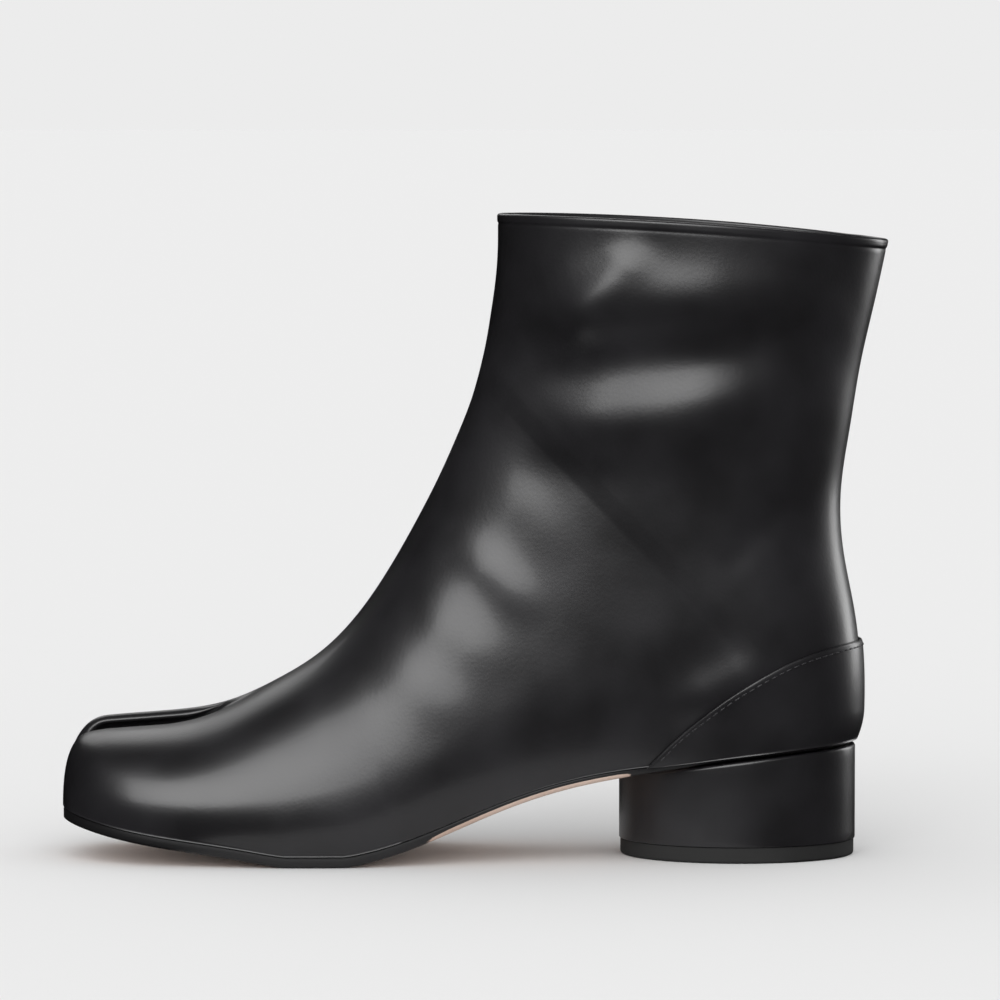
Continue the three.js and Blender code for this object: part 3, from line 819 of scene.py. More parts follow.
CREASES = (
    # across the shaft: the long sag under the collar, the swells above and below it, and the hollow over the ankle
    Crease(((140, 144), (152, 150), (164, 155), (178, 158.5), (196, 159.5), (214, 160.5), (232, 164), (244, 168)), 2.9, 10, Side.OUTER, 0.33),
    Crease(((142, 162), (156, 168.5), (172, 171.5), (196, 171), (218, 172), (236, 176), (244, 178)), -3.8, 13, Side.OUTER, 0.24),
    Crease(((181.5, 193.1), (172.5, 180.9), (163.4, 170.1), (154.9, 159.3)), -1.5, 7, Side.OUTER),
    Crease(((132, 139), (146, 136.5), (160, 134.5), (176, 134), (192, 136.5), (212, 143), (230, 149), (242, 154)), -3, 10.5, Side.OUTER, 0.33),
    Crease(((136, 125.1), (148.2, 123.3), (163.5, 121.8), (178.7, 123.9), (192.3, 130.7)), 0.6, 10, Side.OUTER),
    # down the instep, where the leather breaks as the foot bends
    Crease(((131, 119), (140, 112), (149, 105), (158, 91)), -0.35, 7.5, Side.OUTER, 0.4),
    Crease(((119, 100), (128, 94.5), (138, 86), (150, 73)), -1.1, 6.2, Side.OUTER, 0.4),
    Crease(((105, 81), (116, 76), (127, 68), (138, 55)), -0.6, 8, Side.OUTER, 0.4),
    Crease(((96, 62), (106, 58), (118, 51), (132, 41)), -0.55, 8, Side.OUTER, 0.4),
    # behind the ankle, and the swell over the counter's edge
    Crease(((200.7, 89.3), (218.6, 104.2), (231.8, 116)), 0.8, 5, Side.OUTER),
    Crease(((184, 43), (197, 51), (210, 57.5), (226, 63.5)), -2.3, 7.5, Side.OUTER, 0.4),
    # the inner side, which is guessed: the same kinds of folds in other places
    Crease(((152, 160), (168, 156), (185, 158), (204, 166), (222, 163)), 1.5, 11, Side.INNER),
    Crease(((150, 178), (170, 173), (192, 176), (216, 180)), -1, 13, Side.INNER),
    Crease(((148, 143), (166, 140), (184, 142), (204, 149)), -1.2, 10, Side.INNER),
    Crease(((138, 122), (156, 118), (176, 120), (190, 127)), 1, 10, Side.INNER),
    Crease(((134, 106), (145, 97), (155, 84)), 0.7, 8, Side.INNER),
    Crease(((119, 91), (128, 82), (137, 70)), 0.8, 8, Side.INNER),
    Crease(((204, 92), (219, 103), (230, 113)), 0.8, 5, Side.INNER),
)


def crease_push(points: Array) -> Array:
    """How far the creases move each point inwards, each on its own side of the split line."""
    x, y, z = np.moveaxis(points, -1, 0)
    total = np.zeros(x.shape)
    for crease in CREASES:
        share = smoothstep(crease.side.value * (y - LAST.split_line), 0, 12)
        total += crease.push(x, z) * share
    return total


@dataclass
class Upper:
    """Vamp, shaft and toe box: one shell of calf with its lining, open at the collar and under the foot."""

    wall: float = 2
    rows: int = 220
    slot_columns: int = 8
    roll_columns: int = 10
    columns: int = 100
    rim_fall: float = 0.8  # the rolled rim stands this much above the end of the two surfaces
    rim_levels: tuple[float, ...] = (9, 7.4, 6, 4.8, 3.9, 3.2, 2.75, 2.4, 2.1, 1.75, 1.3, 0.85, 0.4, 0)
    rim_bead: float = 0.2  # how far the turned edge stands proud
    rim_groove: float = 0.12  # depth of the line pressed under it
    rim_width: float = 2.1
    inner_step: int = 3

    def turns(self, share: Array, section: Section, side: Side) -> Array:
        """The angle down each section at every column, close together at the split and even behind it.

        Args:
            share: Shares along the last, rows by columns.
            section: The sections at those shares.
            side: The side of the boot.

        Returns:
            Angles, rows by columns, the first at the ridge and the last where the leather meets the sole.
        """
        half = section.outer + section.ridge if side is Side.OUTER else section.inner - section.ridge
        reach = half * rounding(section.high_x, *LAST.nose_width)
        split = LAST.split_gap / 2 + LAST.split_roll
        squeeze = np.minimum(1, reach / (2 * split)) / np.maximum(reach, 1e-6)
        slot = np.linspace(0, 1, self.slot_columns + 1) * LAST.split_gap / 2
        angles = np.linspace(0, np.pi / 2, self.roll_columns + 1)[1:]
        offsets = np.concatenate([slot, LAST.split_gap / 2 + LAST.split_roll * (1 - np.cos(angles))])
        end = LAST.cut_turn(share)
        number = np.arange(self.columns + 1)
        near = len(offsets) - 1
        tight = np.arcsin(np.minimum(1, offsets[np.minimum(number, near)] * squeeze))
        edge = np.arcsin(np.minimum(1, split * squeeze))
        scale = np.minimum(1, 0.55 * end / np.maximum(edge, 1e-9))
        beyond = (number - near) / (self.columns - near)
        tight = np.where(number <= near, tight * scale, lerp(edge * scale, end, beyond))
        even = end * number / self.columns
        return lerp(even, tight, 1 - smoothstep(section.high_x, 52, 72))

    def shares(self, side: Side) -> Array:
        """Shares along the last for every row and column, so that the last rows run level with the rim.

        Args:
            side: The side of the boot.

        Returns:
            Shares, rows by columns.
        """
        number = self.columns + 1

        def over_rim(fall: float) -> Array:
            """The shares at which the columns come to a fall below the rim."""

            def height(share: Array) -> Array:
                """Height over that line."""
                section = LAST.sections(share)
                points = LAST.surface(section, self.turns(share, section, side)[0], side)
                return (points[..., 2] - LAST.collar(points[..., 0]) + fall + self.rim_fall).reshape(share.shape)

            low, high = np.full((1, number), 0.75), np.ones((1, number))
            return bisect(height, low, high)[0]

        levels = np.array([over_rim(fall) for fall in self.rim_levels])
        steps = np.linspace(0, 1, self.rows - len(levels) + 1)[:-1]
        return np.concatenate([steps[:, None] * levels[:1], levels])

    def outside(self) -> tuple[Array, Array, Array]:
        """The leather's outside as a grid over both sides.

        The last's surface is lowered on the outer toe, rolled into the split, pressed in along the creases and drawn
        down into a slot between the toes.

        Returns:
            The grid of points, the point numbers with those that meet made equal, and the unit normals.
        """
        sheets, turns = [], []
        for side in Side:
            share = self.shares(side)
            section = LAST.sections(share)
            turns.append(self.turns(share, section, side))
            sheets.append(LAST.surface(section, turns[-1], side))
        points = np.concatenate([sheets[0][:, ::-1], sheets[1][:, 1:]], axis=1)
        rows, columns, _ = points.shape
        numbers = np.arange(rows * columns).reshape(rows, columns)
        numbers[0] = numbers[0, 0]
        points[0] = points[0, self.columns]
        seam = np.abs(points[:, 0, 1] - points[:, -1, 1]) < 1e-6
        seam[0] = False
        numbers[seam, -1] = numbers[seam, 0]
        self.seam_start = int(np.argmax(seam))
        faces = grid_faces(numbers)

        def normals() -> Array:
            """Unit normals of the grid as it is."""
            unit = point_normals(points.reshape(-1, 3), faces, rows * columns)
            return unit[numbers.reshape(-1)].reshape(points.shape)

        points[..., 2] -= LAST.lobe_lowering(points)
        points -= normals() * LAST.roll_depth(points)[..., None]
        points -= normals() * crease_push(points)[..., None]
        points += normals() * self.rim_relief(points)[..., None]
        self.open_slot(points)
        return points, numbers, normals()

    def rim_relief(self, points: Array) -> Array:
        """How far the turned edge stands proud of the leather, and the line pressed under it falls back."""
        fall = LAST.collar(points[..., 0]) - self.rim_fall - points[..., 2]
        bead = self.rim_bead * (1 - smoothstep(fall, self.rim_width - 0.5, self.rim_width))
        groove = self.rim_groove * np.exp(-(((fall - self.rim_width - 0.2) / 0.45) ** 2))
        return np.where(fall < 15, bead - groove, 0)

    def open_slot(self, points: Array) -> None:
        """Draws the columns beside the ridge down into the slot between the toes, whose end slopes forward.

        Args:
            points: The grid, changed in place.
        """
        middle = self.columns
        for sign in (-1, 1):
            edge = points[:, middle + sign * self.slot_columns].copy()
            x, _, z = edge.T
            foot = LAST.split_length - LAST.split_web
            rise = clamp((x - foot) / LAST.split_web) ** 0.85
            floor = np.minimum(LAST.sole_top(x) + LAST.clearance + 1.0, z)
            deep = lerp(floor, z, rise)
            weight = 1 - smoothstep(x, LAST.split_length - 4, LAST.split_length)
            for column in range(self.slot_columns):
                share = column / self.slot_columns
                wall = edge.copy()
                wall[:, 2] = lerp(deep, z, share)
                if column == 0:
                    wall[:, 1] = LAST.split_line
                    wall[:, 0] = points[:, middle, 0] if sign > 0 else x
                at = middle + sign * column
                points[:, at] = lerp(points[:, at], wall, weight[:, None])

    def build(self) -> bpy.types.Object:
        """The closed shell: its outside, its lining, a rolled rim and a strip under the foot."""
        outside, numbers, normals = self.outside()
        rows, columns, _ = outside.shape
        picked = np.unique(np.append(np.arange(0, rows, self.inner_step), rows - 1))
        lining = (outside - normals * self.wall)[picked]
        lining[..., 2] = np.maximum(lining[..., 2], LAST.sole_top(lining[..., 0]) + LAST.clearance)
        offset = rows * columns
        inner_numbers = numbers[picked] + 0
        lookup = np.full(rows * columns, -1)
        flat = (np.arange(len(picked))[:, None] * columns + np.arange(columns)[None, :])
        lookup[(picked[:, None] * columns + np.arange(columns)[None, :]).reshape(-1)] = flat.reshape(-1)
        merged = np.where(np.isin(numbers[picked] // columns, picked), lookup[numbers[picked]], flat)
        inner_numbers = merged + offset
        patch = Patch(np.concatenate([outside.reshape(-1, 3), lining.reshape(-1, 3)]))
        patch.add(grid_faces(numbers), 0)
        patch.add(grid_faces(inner_numbers, flip=True), 1)

        top, under = outside[-1], lining[-1]
        rise = outside[-1] - outside[-2]
        rise /= np.maximum(np.linalg.norm(rise, axis=1, keepdims=True), 1e-9)
        middle, radius = (top + under) / 2, np.linalg.norm(top - under, axis=1, keepdims=True) / 2
        angles = np.linspace(0, np.pi, 9)[1:-1, None, None]
        roll = middle + np.cos(angles) * (top - middle) + np.sin(angles) * radius * self.rim_fall * rise
        start = len(patch.points)
        patch.points = np.concatenate([patch.points, roll.reshape(-1, 3)])
        roll_numbers = start + np.arange(roll.shape[0] * columns).reshape(-1, columns)
        roll_numbers[:, -1] = roll_numbers[:, 0]
        ring = np.concatenate([numbers[-1:], roll_numbers, inner_numbers[-1:]])
        patch.add(grid_faces(ring), 0)
        for column, flip in ((0, False), (columns - 1, True)):
            for k in range(len(picked) - 1):
                first, last = picked[k], min(picked[k + 1], self.seam_start)
                if first >= self.seam_start:
                    break
                loop = [*numbers[first : last + 1, column], inner_numbers[k + 1, column], inner_numbers[k, column]]
                loop = list(dict.fromkeys(int(number) for number in loop))
                if len(loop) > 2:
                    patch.add([loop[::-1] if flip else loop], 0)
        patch.add(np.zeros((0, 3), int), 0)
        used = np.zeros(len(patch.points), bool)
        for group in patch.faces:
            used[group.reshape(-1)] = True
        renumber = np.cumsum(used) - 1
        patch = Patch(patch.points[used], [renumber[group] for group in patch.faces], patch.finishes)
        return make_piece("upper_leather", patch.welded(1e-4), [CALF, LINING], "upper")


@dataclass
class Counter:
    """The layer of calf over the heel, with its skived edge and the row of stitches below it."""

    clearance: float = 0.3
    wall: float = 1.0
    height: float = 67
    reach: float = 69
    skive: float = 1.6  # mm over which the top edge is pared
    edge_wall: float = 0.5  # thickness left at the pared edge
    columns: int = 260
    rows: int = 40
    stitch_inset: float = 1.7
    stitch_pitch: float = 2.7
    stitch_length: float = 2.0
    stitch_thick: float = 0.5

    def seam(self, x: Array) -> Array:
        """Height of the top edge: it leaves the sole steeply and levels out to the back."""
        front = LAST.length - self.reach
        base = float(LAST.sole_top(np.array(front)))
        return lerp(self.height, base, (1 - clamp((x - front) / self.reach)) ** 2)

    def grid(self, down: Array, around: Array) -> Array:
        """Points of the last under the counter.

        Around the heel x falls from the back line along a cosine for a quarter turn and evenly from there to the
        counter's front tip. Down the counter z goes from the seam to the sole.

        Args:
            down: Shares of the way down from the seam.
            around: From -1 at the outer tip to 1 at the inner tip.

        Returns:
            The points, with the shape of the two arguments and a last axis of 3.
        """
        turn = 0.42
        round_length = LAST.seat_round
        t = np.abs(around)
        front = LAST.length - self.reach
        z = np.full(t.shape, 50.0)
        for _ in range(6):
            back = LAST.back_line(z)
            bend = np.minimum(t / turn, 1) * np.pi / 2
            run = clamp((t - turn) / (1 - turn))
            run_end = back - round_length - front
            speed = round_length * np.pi / 2 * (1 - turn) / turn
            straight = run_end * (run + (speed / np.maximum(run_end, 1) - 1) * run * (1 - run) ** 2)
            x = back - round_length * (1 - np.cos(bend)) - straight
            z = lerp(self.seam(x), LAST.sole_top(x) + LAST.clearance, down)
        outer = LAST.side_points(x, z, Side.OUTER)
        inner = LAST.side_points(x, z, Side.INNER)
        return np.where((around < 0)[..., None], outer, inner)

    def build(self) -> list[bpy.types.Object]:
        """The counter as a closed shell, and its stitches."""
        around = np.linspace(-1, 1, self.columns + 1)
        fall = np.linspace(0, 1, self.rows + 1) ** 1.5
        down, t = np.meshgrid(fall, around, indexing="ij")
        points = self.grid(down, t)
        rows, columns, _ = points.shape
        numbers = np.arange(rows * columns).reshape(rows, columns)
        normals = point_normals(points.reshape(-1, 3), grid_faces(numbers), rows * columns).reshape(points.shape)
        away = np.sign(normals[rows // 2, columns // 4, 1]) * -1
        normals = normals * away
        normals[:, 0] = normals[:, 1]
        normals[:, -1] = normals[:, -2]
        base = points - normals * crease_push(points)[..., None]
        below = np.linalg.norm(points - points[:1], axis=-1)
        pared = lerp(self.edge_wall, self.wall, np.sqrt(1 - (1 - clamp(below / self.skive)) ** 2))
        inside = base + normals * self.clearance
        outside = base + normals * (self.clearance + pared)[..., None]
        patch = joined([grid_patch(outside, flip=away < 0), grid_patch(inside, flip=away > 0)])
        offset = rows * columns
        loops = [(numbers[0], away > 0), (numbers[-1], away < 0), (numbers[:, 0], away < 0), (numbers[:, -1], away > 0)]
        for line, flip in loops:
            patch.add(grid_faces(np.stack([line, line + offset]), flip=not flip))
        counter = make_piece("counter_leather", patch.welded(), [CALF], "counter")
        return [counter, self.stitches(outside, normals, below)]

    def stitches(self, outside: Array, normals: Array, below: Array) -> bpy.types.Object:
        """A row of stitches, each a small spindle lying on the leather at one distance below the edge.

        Args:
            outside: The counter's outside.
            normals: Its unit normals.
            below: How far each point lies below the top edge.

        Returns:
            The object with all stitches.
        """
        rows, columns, _ = outside.shape
        row = np.array([np.interp(self.stitch_inset, below[:, c], np.arange(rows)) for c in range(columns)])
        upper_row = np.minimum(row.astype(int), rows - 2)
        share = (row - upper_row)[:, None]
        line = lerp(outside[upper_row, np.arange(columns)], outside[upper_row + 1, np.arange(columns)], share)
        lift = lerp(normals[upper_row, np.arange(columns)], normals[upper_row + 1, np.arange(columns)], share)
        length = np.concatenate([[0], np.cumsum(np.linalg.norm(np.diff(line, axis=0), axis=1))])
        margin = 6.0
        places = np.arange(margin, length[-1] - margin, self.stitch_pitch)
        half = self.stitch_length / 2

        def read(values: Array, at: Array) -> Array:
            """Values along the line at lengths."""
            return np.stack([np.interp(at, length, values[:, k]) for k in range(3)], axis=-1)

        middle = read(line, places)
        along = read(line, places + half) - read(line, places - half)
        along /= np.linalg.norm(along, axis=1, keepdims=True)
        up = read(lift, places)
        up /= np.linalg.norm(up, axis=1, keepdims=True)
        across = np.cross(up, along)
        bend, turn = np.meshgrid(np.linspace(0, np.pi, 7), np.linspace(0, 2 * np.pi, 7)[:-1], indexing="ij")
        reach = -np.cos(bend) * half
        fat = np.sin(bend) ** 0.6 * self.stitch_thick / 2
        local = reach[..., None] * along[:, None, None] + (fat * np.cos(turn))[..., None] * across[:, None, None]
        local = local + (fat * np.sin(turn) + 0.05)[..., None] * up[:, None, None]
        spindles = local + middle[:, None, None]
        patch = joined([grid_patch(spindle, around=True, flip=True) for spindle in spindles])
        return make_piece("counter_stitches", patch.welded(), [THREAD])


@dataclass
class Outsole:
    """The thin leather sole: its inked and rounded edge, the line under the upper, the natural face and the notch."""

    inset: float = 0.8
    seat_inset: float = 1.2
    bevel: float = 1.2
    notch: float = 27
    stations: int = 150
    lip: float = 0.16  # radius of the edge's top corner
    waist: tuple[float, float] = (114, 180)  # between these the bevel is natural; elsewhere the ink covers it
    waist_bevel: float = 2.0

    def edge_inset(self, x: Array) -> Array:
        """How far the sole's edge stands inside the leather."""
        return lerp(self.inset, self.inset + self.seat_inset, smoothstep(x, 0.66 * LAST.length, 0.8 * LAST.length))

    def half(self, side: Side) -> Patch:
        """One half of the sole, from its edge to the line of the split.

        Each station is a loop: down the rounded edge, over the bevel, in along the face to the split line, up the
        notch's wall and back out along the top.

        Args:
            side: The side of the boot.

        Returns:
            The half as an open patch, closed where the notch is, with its "ink" mark.
        """
        start, end = self.inset, LAST.seat_back - self.inset - self.seat_inset / 2
        share = np.linspace(0, 1, self.stations + 1)
        x = lerp(start, end, (1 - np.cos(np.pi * share)) / 2)
        x = np.sort(np.append(x, [self.notch - 0.01, self.notch, self.notch - 0.25, self.notch - 0.7]))
        outer, inner = LAST.footprint(x, self.edge_inset(x))
        rim = outer if side is Side.OUTER else inner
        top, bottom = LAST.sole_top(x), LAST.sole_bottom(x)
        thick = top - bottom
        gap = LAST.split_gap / 2 * np.sqrt(clamp((self.notch - x) / 0.9))
        corner = LAST.split_roll
        back = self.inset + LAST.split_roll
        ahead = clamp((back - x) / corner)
        gap = gap + np.where(x < back, corner * (1 - np.sqrt(1 - ahead**2)), 0)
        lip_line = LAST.split_line + side.value * gap
        lip_line = np.where((rim - lip_line) * side.value > 0, lip_line, rim)
        reach = np.abs(rim - lip_line)
        waist_start, waist_end = self.waist
        natural = smoothstep(x, waist_start - 8, waist_start + 8) * (1 - smoothstep(x, waist_end - 8, waist_end))
        bevel = lerp(self.bevel, self.waist_bevel, natural)
        bevel = np.minimum(np.minimum(bevel, reach / 2), thick * lerp(0.6, 0.72, natural))
        lip = np.minimum(np.minimum(self.lip, reach / 3), thick * 0.2)
        corner_turn = np.linspace(0, np.pi / 2, 4)
        columns: list[tuple[Array, Array, Array]] = []
        for angle in corner_turn:
            columns.append((lip * (1 - np.sin(angle)), thick - lip * (1 - np.cos(angle)), np.ones_like(x)))
        for depth in (0.3, 0.55, 0.8):
            level = lerp(thick - lip, bevel, depth)
            columns.append((-0.12 * np.sin(np.pi * depth) * np.minimum(1, thick / 3), level, np.ones_like(x)))
        for step in np.linspace(0, 1, 6):
            angle = step * np.pi / 2
            inwards, level = bevel * (1 - np.cos(angle)), bevel * (1 - np.sin(angle))
            columns.append((inwards, level, 1 - clamp(step * 4) * natural))
        columns = [(inwards, bottom + level, ink) for inwards, level, ink in columns]
        ys = [rim - side.value * inwards for inwards, _, _ in columns]
        zs = [level for _, level, _ in columns]
        inks = [ink for _, _, ink in columns]
        for step in (0.03, 0.15, 0.4, 0.7, 1.0):
            ys.append(lerp(ys[12], lip_line, step))
            zs.append(bottom)
            inks.append(np.zeros_like(x))
        for step in (0.3, 0.7, 1.0):
            ys.append(lip_line)
            zs.append(lerp(bottom, top, step))
            inks.append(np.full_like(x, 1.0 if step > 0.2 else 0))
        for step in (0.35, 0.7, 1.0):
            ys.append(lerp(lip_line, ys[0], step))
            zs.append(top)
            inks.append(np.ones_like(x))
        points = np.stack([np.broadcast_to(x, (len(ys), len(x))), np.array(ys), np.array(zs)], axis=-1).transpose(1, 0, 2)
        numbers = np.arange(points.shape[0] * points.shape[1]).reshape(points.shape[:2])
        flip = side is Side.OUTER
        patch = Patch(points.reshape(-1, 3), marks={"ink": np.array(inks).T.reshape(-1)})
        wall = slice(17, 21)
        patch.add(grid_faces(numbers[:, :18], flip=flip))
        before = int(np.searchsorted(x, self.notch)) + 1
        patch.add(grid_faces(numbers[:before, wall], flip=flip))
        patch.add(grid_faces(numbers[:, 20:], flip=flip))
        for line, turn in ((numbers[0, :-1], flip), (numbers[-1, :-1], not flip)):
            patch.add([line.tolist() if turn else line[::-1].tolist()])
        return patch

    def build(self) -> bpy.types.Object:
        """Both halves as one piece."""
        patch = joined([self.half(Side.OUTER), self.half(Side.INNER)])
        return make_piece("sole_bend", patch.welded(2e-3), [SOLE], "outsole")


@dataclass
class Insole:
    """The sock that the foot stands on and its board, drawn as one slab with a rounded edge."""

    inset: float = 2.3
    thick: float = 2.4
    stations: int = 110
    across: int = 18
    edge: float = 1.0

    def build(self) -> bpy.types.Object:
        """A closed slab: the top is level across but for a rounded edge, and follows the sole along its length."""
        share = np.linspace(0, 1, self.stations + 1)
        x = lerp(self.inset + 0.8, LAST.seat_back - self.inset - 0.4, (1 - np.cos(np.pi * share)) / 2)
        outer, inner = LAST.footprint(x, np.full_like(x, self.inset + 0.6))
        base = LAST.sole_top(x) + LAST.clearance
        t = np.linspace(-1, 1, self.across + 1)
        t = np.sin(t * np.pi / 2)
        middle, half = (outer + inner) / 2, (inner - outer) / 2
        y = middle[:, None] + half[:, None] * t
        drawn = np.minimum(self.edge, half * 0.5)[:, None]
        from_edge = half[:, None] * (1 - np.abs(t))
        fall = drawn * (1 - np.sqrt(1 - (1 - clamp(from_edge / np.maximum(drawn, 1e-6))) ** 2))
        top = base[:, None] + self.thick - fall
        wide = np.broadcast_to(x[:, None], y.shape)
        upper = np.stack([wide, y, top], axis=-1)
        under = np.stack([wide, y, np.broadcast_to(base[:, None], y.shape)], axis=-1)
        ring = np.concatenate([upper, under[:, ::-1]], axis=1)
        patch = grid_patch(ring, flip=True, around=True)
        numbers = np.arange(ring.shape[0] * ring.shape[1]).reshape(ring.shape[:2])
        patch.add([numbers[0].tolist()]).add([numbers[-1][::-1].tolist()])
        return make_piece("insole_sock", patch.welded(), [LINING], "insole")


@dataclass
class Heel:
    """The oval block wrapped in calf, and the rubber lift under it."""

    length: float = 73.4
    width: float = 62.5
    back_gap: float = 3.5
    lift: float = 5
    lift_inset: float = 0.4
    clearance: float = 0.3
    wrap_edge: float = 1.1  # radius of the leather turned over the block's top edge
    foot_edge: float = 0.25
    seam: float = 0.08  # the line left between block and lift
    lift_edge: float = 0.9
    around: int = 144

    @property
    def middle(self) -> float:
        """Distance of the heel's middle behind the toe tip."""
        return LAST.length - self.back_gap - self.length / 2

    def ring(self, drawn: float) -> tuple[Array, Array]:
        """An oval drawn in by a distance, as the x and y of points around it."""
        angle = np.linspace(0, 2 * np.pi, self.around + 1)[:-1]
        x = self.middle + (self.length / 2 - drawn) * np.cos(angle)
        return x, (self.width / 2 - drawn) * np.sin(angle)

    def stack(self, rows: list[tuple[float, "callable"]]) -> Patch:
        """A closed body from ovals laid over each other, the first and last drawn to a point.

        Args:
            rows: How far each oval is drawn in, and its height as a function of x.

        Returns:
            The welded patch.
        """
        rings = []
        for drawn, height in rows:
            x, y = self.ring(drawn)
            rings.append(np.stack([x, y, height(x)], axis=-1))
        return grid_patch(np.array(rings), around=True).welded()

    def inwards(self, level: "callable", steps: tuple[float, ...], edge: float) -> list[tuple[float, "callable"]]:
        """Ovals that close a level face from its edge to the middle."""
        short = self.width / 2
        return [(lerp(edge, short - 1e-4, step), level) for step in steps]

    def build(self) -> list[bpy.types.Object]:
        """The wrapped block and the lift."""

        def seat(x: Array) -> Array:
            """Height of the block's top, under the sole."""
            return LAST.sole_bottom(x) - self.clearance

        def foot(x: Array) -> Array:
            """Height of the block's foot."""
            return np.full_like(x, self.lift + self.seam)

        steps = (0.15, 0.4, 0.7, 1.0)
        turns = np.linspace(0, np.pi / 2, 7)
        rows: list[tuple[float, object]] = self.inwards(seat, steps, self.wrap_edge)[::-1]
        edge = self.wrap_edge
        rows += [(edge * (1 - np.sin(a)), lambda x, a=a: seat(x) - edge * (1 - np.cos(a))) for a in turns]
        for step in np.linspace(0, 1, 12)[1:-1]:
            rows.append((0.0, lambda x, s=step: lerp(seat(x) - edge, foot(x) + self.foot_edge, s)))
        small = self.foot_edge
        rows += [(small * (1 - np.cos(a)), lambda x, a=a: foot(x) + small * (1 - np.sin(a))) for a in turns]
        rows += self.inwards(foot, steps, small)
        block = make_piece("heel_block", self.stack(rows), [CALF], "heel")

        def level(height: float) -> "callable":
            """A level face at a height."""
            return lambda x: np.full_like(x, height)

        inset, edge = self.lift_inset, self.lift_edge
        rows = self.inwards(level(self.lift), steps, inset + 0.3)[::-1]
        rows += [(inset + 0.3 * (1 - np.sin(a)), level(self.lift - 0.3 * (1 - np.cos(a)))) for a in turns]
        rows += [(inset, level(h)) for h in (3.8, 2.8, 1.8)]
        rows += [(inset + edge * (1 - np.cos(a)), level(edge * (1 - np.sin(a)))) for a in turns]
        rows += self.inwards(level(0.0), steps, inset + edge)
        lift = make_piece("top_lift_rubber", self.stack(rows), [RUBBER], "top_lift")
        return [block, lift]


# ---------------------------------------------------------------------------------------------------------------------
# The studio
# ---------------------------------------------------------------------------------------------------------------------


@dataclass(frozen=True)
class Backdrop(Finish):
    """Seamless paper: matt, very pale grey."""

    shade: str = "#e9e9e9"

    def dress(self, tree: bpy.types.NodeTree) -> None:
        """Paper's faint tooth as noise in its roughness."""
        place = add_node(tree, "TexCoord").outputs["Object"]
        tooth = add_node(tree, "TexNoise", Vector=place, Scale=1 / (3 * MM), Detail=2.0)
        rough = add_node(tree, "MapRange", Value=tooth.outputs[0], To_Min=self.roughness - 0.03, To_Max=self.roughness)
        self.close(tree, Base_Color=colour(self.shade), Roughness=rough.outputs[0], Specular_IOR_Level=0.0)


PAPER = Backdrop("seamless_paper", 0.95)


@dataclass(frozen=True)
class Softbox:
    """A lamp behind white cloth: where it stands, what it points at, its size in metres, and its power in watts.

    It only lights what shines, because the even light of the room does the rest.
    """

    name: str
    place: tuple[float, float, float]
    aim: tuple[float, float, float]
    size: tuple[float, float]
    watts: float

    def light(self) -> None:
        """Adds the lamp to the scene."""
        lamp = bpy.data.lights.new(self.name, "AREA")
        lamp.shape = "RECTANGLE"
        lamp.size, lamp.size_y = self.size
        lamp.energy = self.watts
        stand = bpy.data.objects.new(self.name, lamp)
        stand.location = self.place
        stand.rotation_euler = (Vector(self.aim) - Vector(self.place)).to_track_quat("-Z", "Y").to_euler()
        stand.visible_camera = False
        stand.visible_diffuse = False
        bpy.context.scene.collection.objects.link(stand)


@dataclass(frozen=True)
class Window:
    """Far light from one direction, which lights what is matt: its strength, and how many degrees it is across."""

    name: str
    direction: tuple[float, float, float]
    strength: float
    across: float

    def light(self) -> None:
        """Adds the light to the scene."""
        sun = bpy.data.lights.new(self.name, "SUN")
        sun.energy = self.strength
        sun.angle = np.radians(self.across)
        stand = bpy.data.objects.new(self.name, sun)
        stand.rotation_euler = Vector(self.direction).to_track_quat("-Z", "Y").to_euler()
        stand.visible_glossy = False
        bpy.context.scene.collection.objects.link(stand)


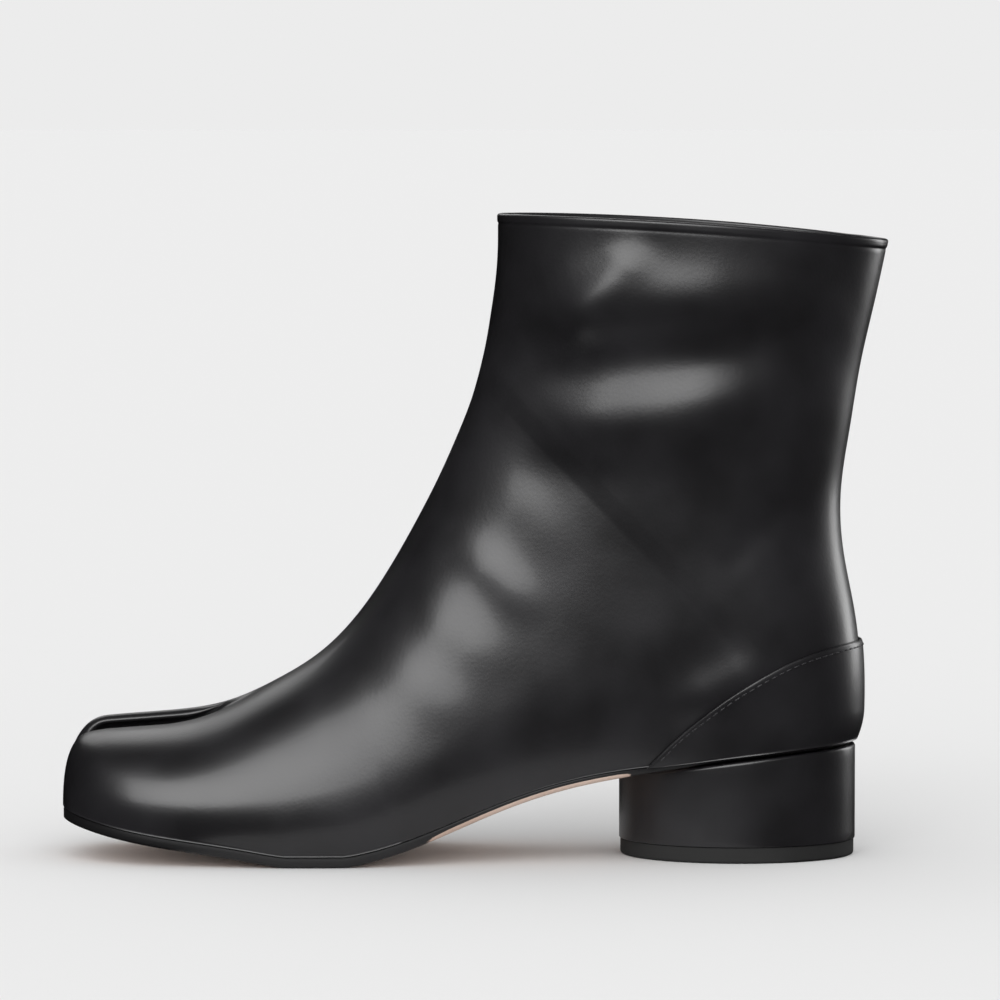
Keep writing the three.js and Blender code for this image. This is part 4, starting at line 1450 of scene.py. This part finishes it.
@dataclass
class Studio:
    """Floor, room light, lamps and camera."""

    lens: float = 226.5
    camera_place: tuple[float, float, float] = (0.0077, -1.9482, 0.232)
    camera_aim: tuple[float, float, float] = (0.0077, 0.0018, 0.110)
    room: str = "#ececec"
    near_floor: float = 0.1  # radius of the floor that mirrors in the leather, in metres
    far_floor: float = 60
    lamps: tuple[Softbox, ...] = (
        Softbox("key_box", (-0.356, -1.095, 1.21), (0.0, 0.0, 0.1), (1.6, 1.35), 39),
        Softbox("top_back_box", (-0.25, 1.4, 0.95), (0.0, 0.0, 0.1), (1.1, 0.8), 4),
        Softbox("right_back_strip", (1.2, 0.9, 0.35), (0.0, 0.0, 0.12), (0.5, 0.8), 6),
    )

    windows: tuple[Window, ...] = (
        Window("high_window", (0.3, 0.8, -1.3), 0.15, 50),
        Window("front_window", (0.0, 1.0, -0.5), 1.15, 60),
    )

    def build(self) -> None:
        """Sets up everything around the boot."""
        self.floor("near_floor", 0.0, self.near_floor).visible_glossy = True
        self.floor("far_floor", self.near_floor, self.far_floor).visible_glossy = False
        for lamp in self.lamps:
            lamp.light()
        for window in self.windows:
            window.light()
        world = bpy.data.worlds.new("room_light")
        world.use_nodes = True
        back = world.node_tree.nodes["Background"]
        back.inputs["Color"].default_value = colour(self.room)
        world.cycles_visibility.glossy = False
        bpy.context.scene.world = world
        bpy.context.scene.view_settings.view_transform = "Standard"
        bpy.context.scene.view_settings.look = "None"
        camera = bpy.data.cameras.new("camera")
        camera.lens = self.lens
        camera.sensor_width = 36
        camera.clip_start, camera.clip_end = 0.05, 200
        stand = bpy.data.objects.new("camera", camera)
        stand.location = self.camera_place
        aim = Vector(self.camera_aim) - Vector(self.camera_place)
        stand.rotation_euler = aim.to_track_quat("-Z", "Y").to_euler()
        bpy.context.scene.collection.objects.link(stand)
        bpy.context.scene.camera = stand

    def floor(self, name: str, inside: float, outside: float) -> bpy.types.Object:
        """A flat ring of paper between two radii, in metres.

        Args:
            name: Its name.
            inside: Its inner radius, or 0 for a disc.
            outside: Its outer radius.

        Returns:
            The object.
        """
        angle = np.linspace(0, 2 * np.pi, 65)[:-1]
        radius = np.array([inside, outside])[:, None]
        flat = np.broadcast_arrays(radius * np.cos(angle), radius * np.sin(angle), 0.0)
        patch = grid_patch(np.stack(flat, axis=-1), around=True).welded(1e-6)
        mesh = bpy.data.meshes.new(name)
        mesh.from_pydata(patch.points.tolist(), [], [row for group in patch.faces for row in group.tolist()])
        mesh.materials.append(PAPER.material())
        paper = bpy.data.objects.new(name, mesh)
        bpy.context.scene.collection.objects.link(paper)
        return paper


@dataclass
class Boot:
    """The whole boot, in the order in which a maker puts it together."""

    upper: Upper = field(default_factory=Upper)
    counter: Counter = field(default_factory=Counter)
    insole: Insole = field(default_factory=Insole)
    outsole: Outsole = field(default_factory=Outsole)
    heel: Heel = field(default_factory=Heel)

    def build(self) -> None:
        """Builds every sub-assembly."""
        for part in (self.upper, self.counter, self.insole, self.outsole, self.heel):
            part.build()


def main() -> None:
    """Builds the studio and the boot."""
    logging.basicConfig(level=logging.INFO, format="%(name)s: %(message)s")
    Studio().build()
    Boot().build()


if __name__ == "__main__":
    main()
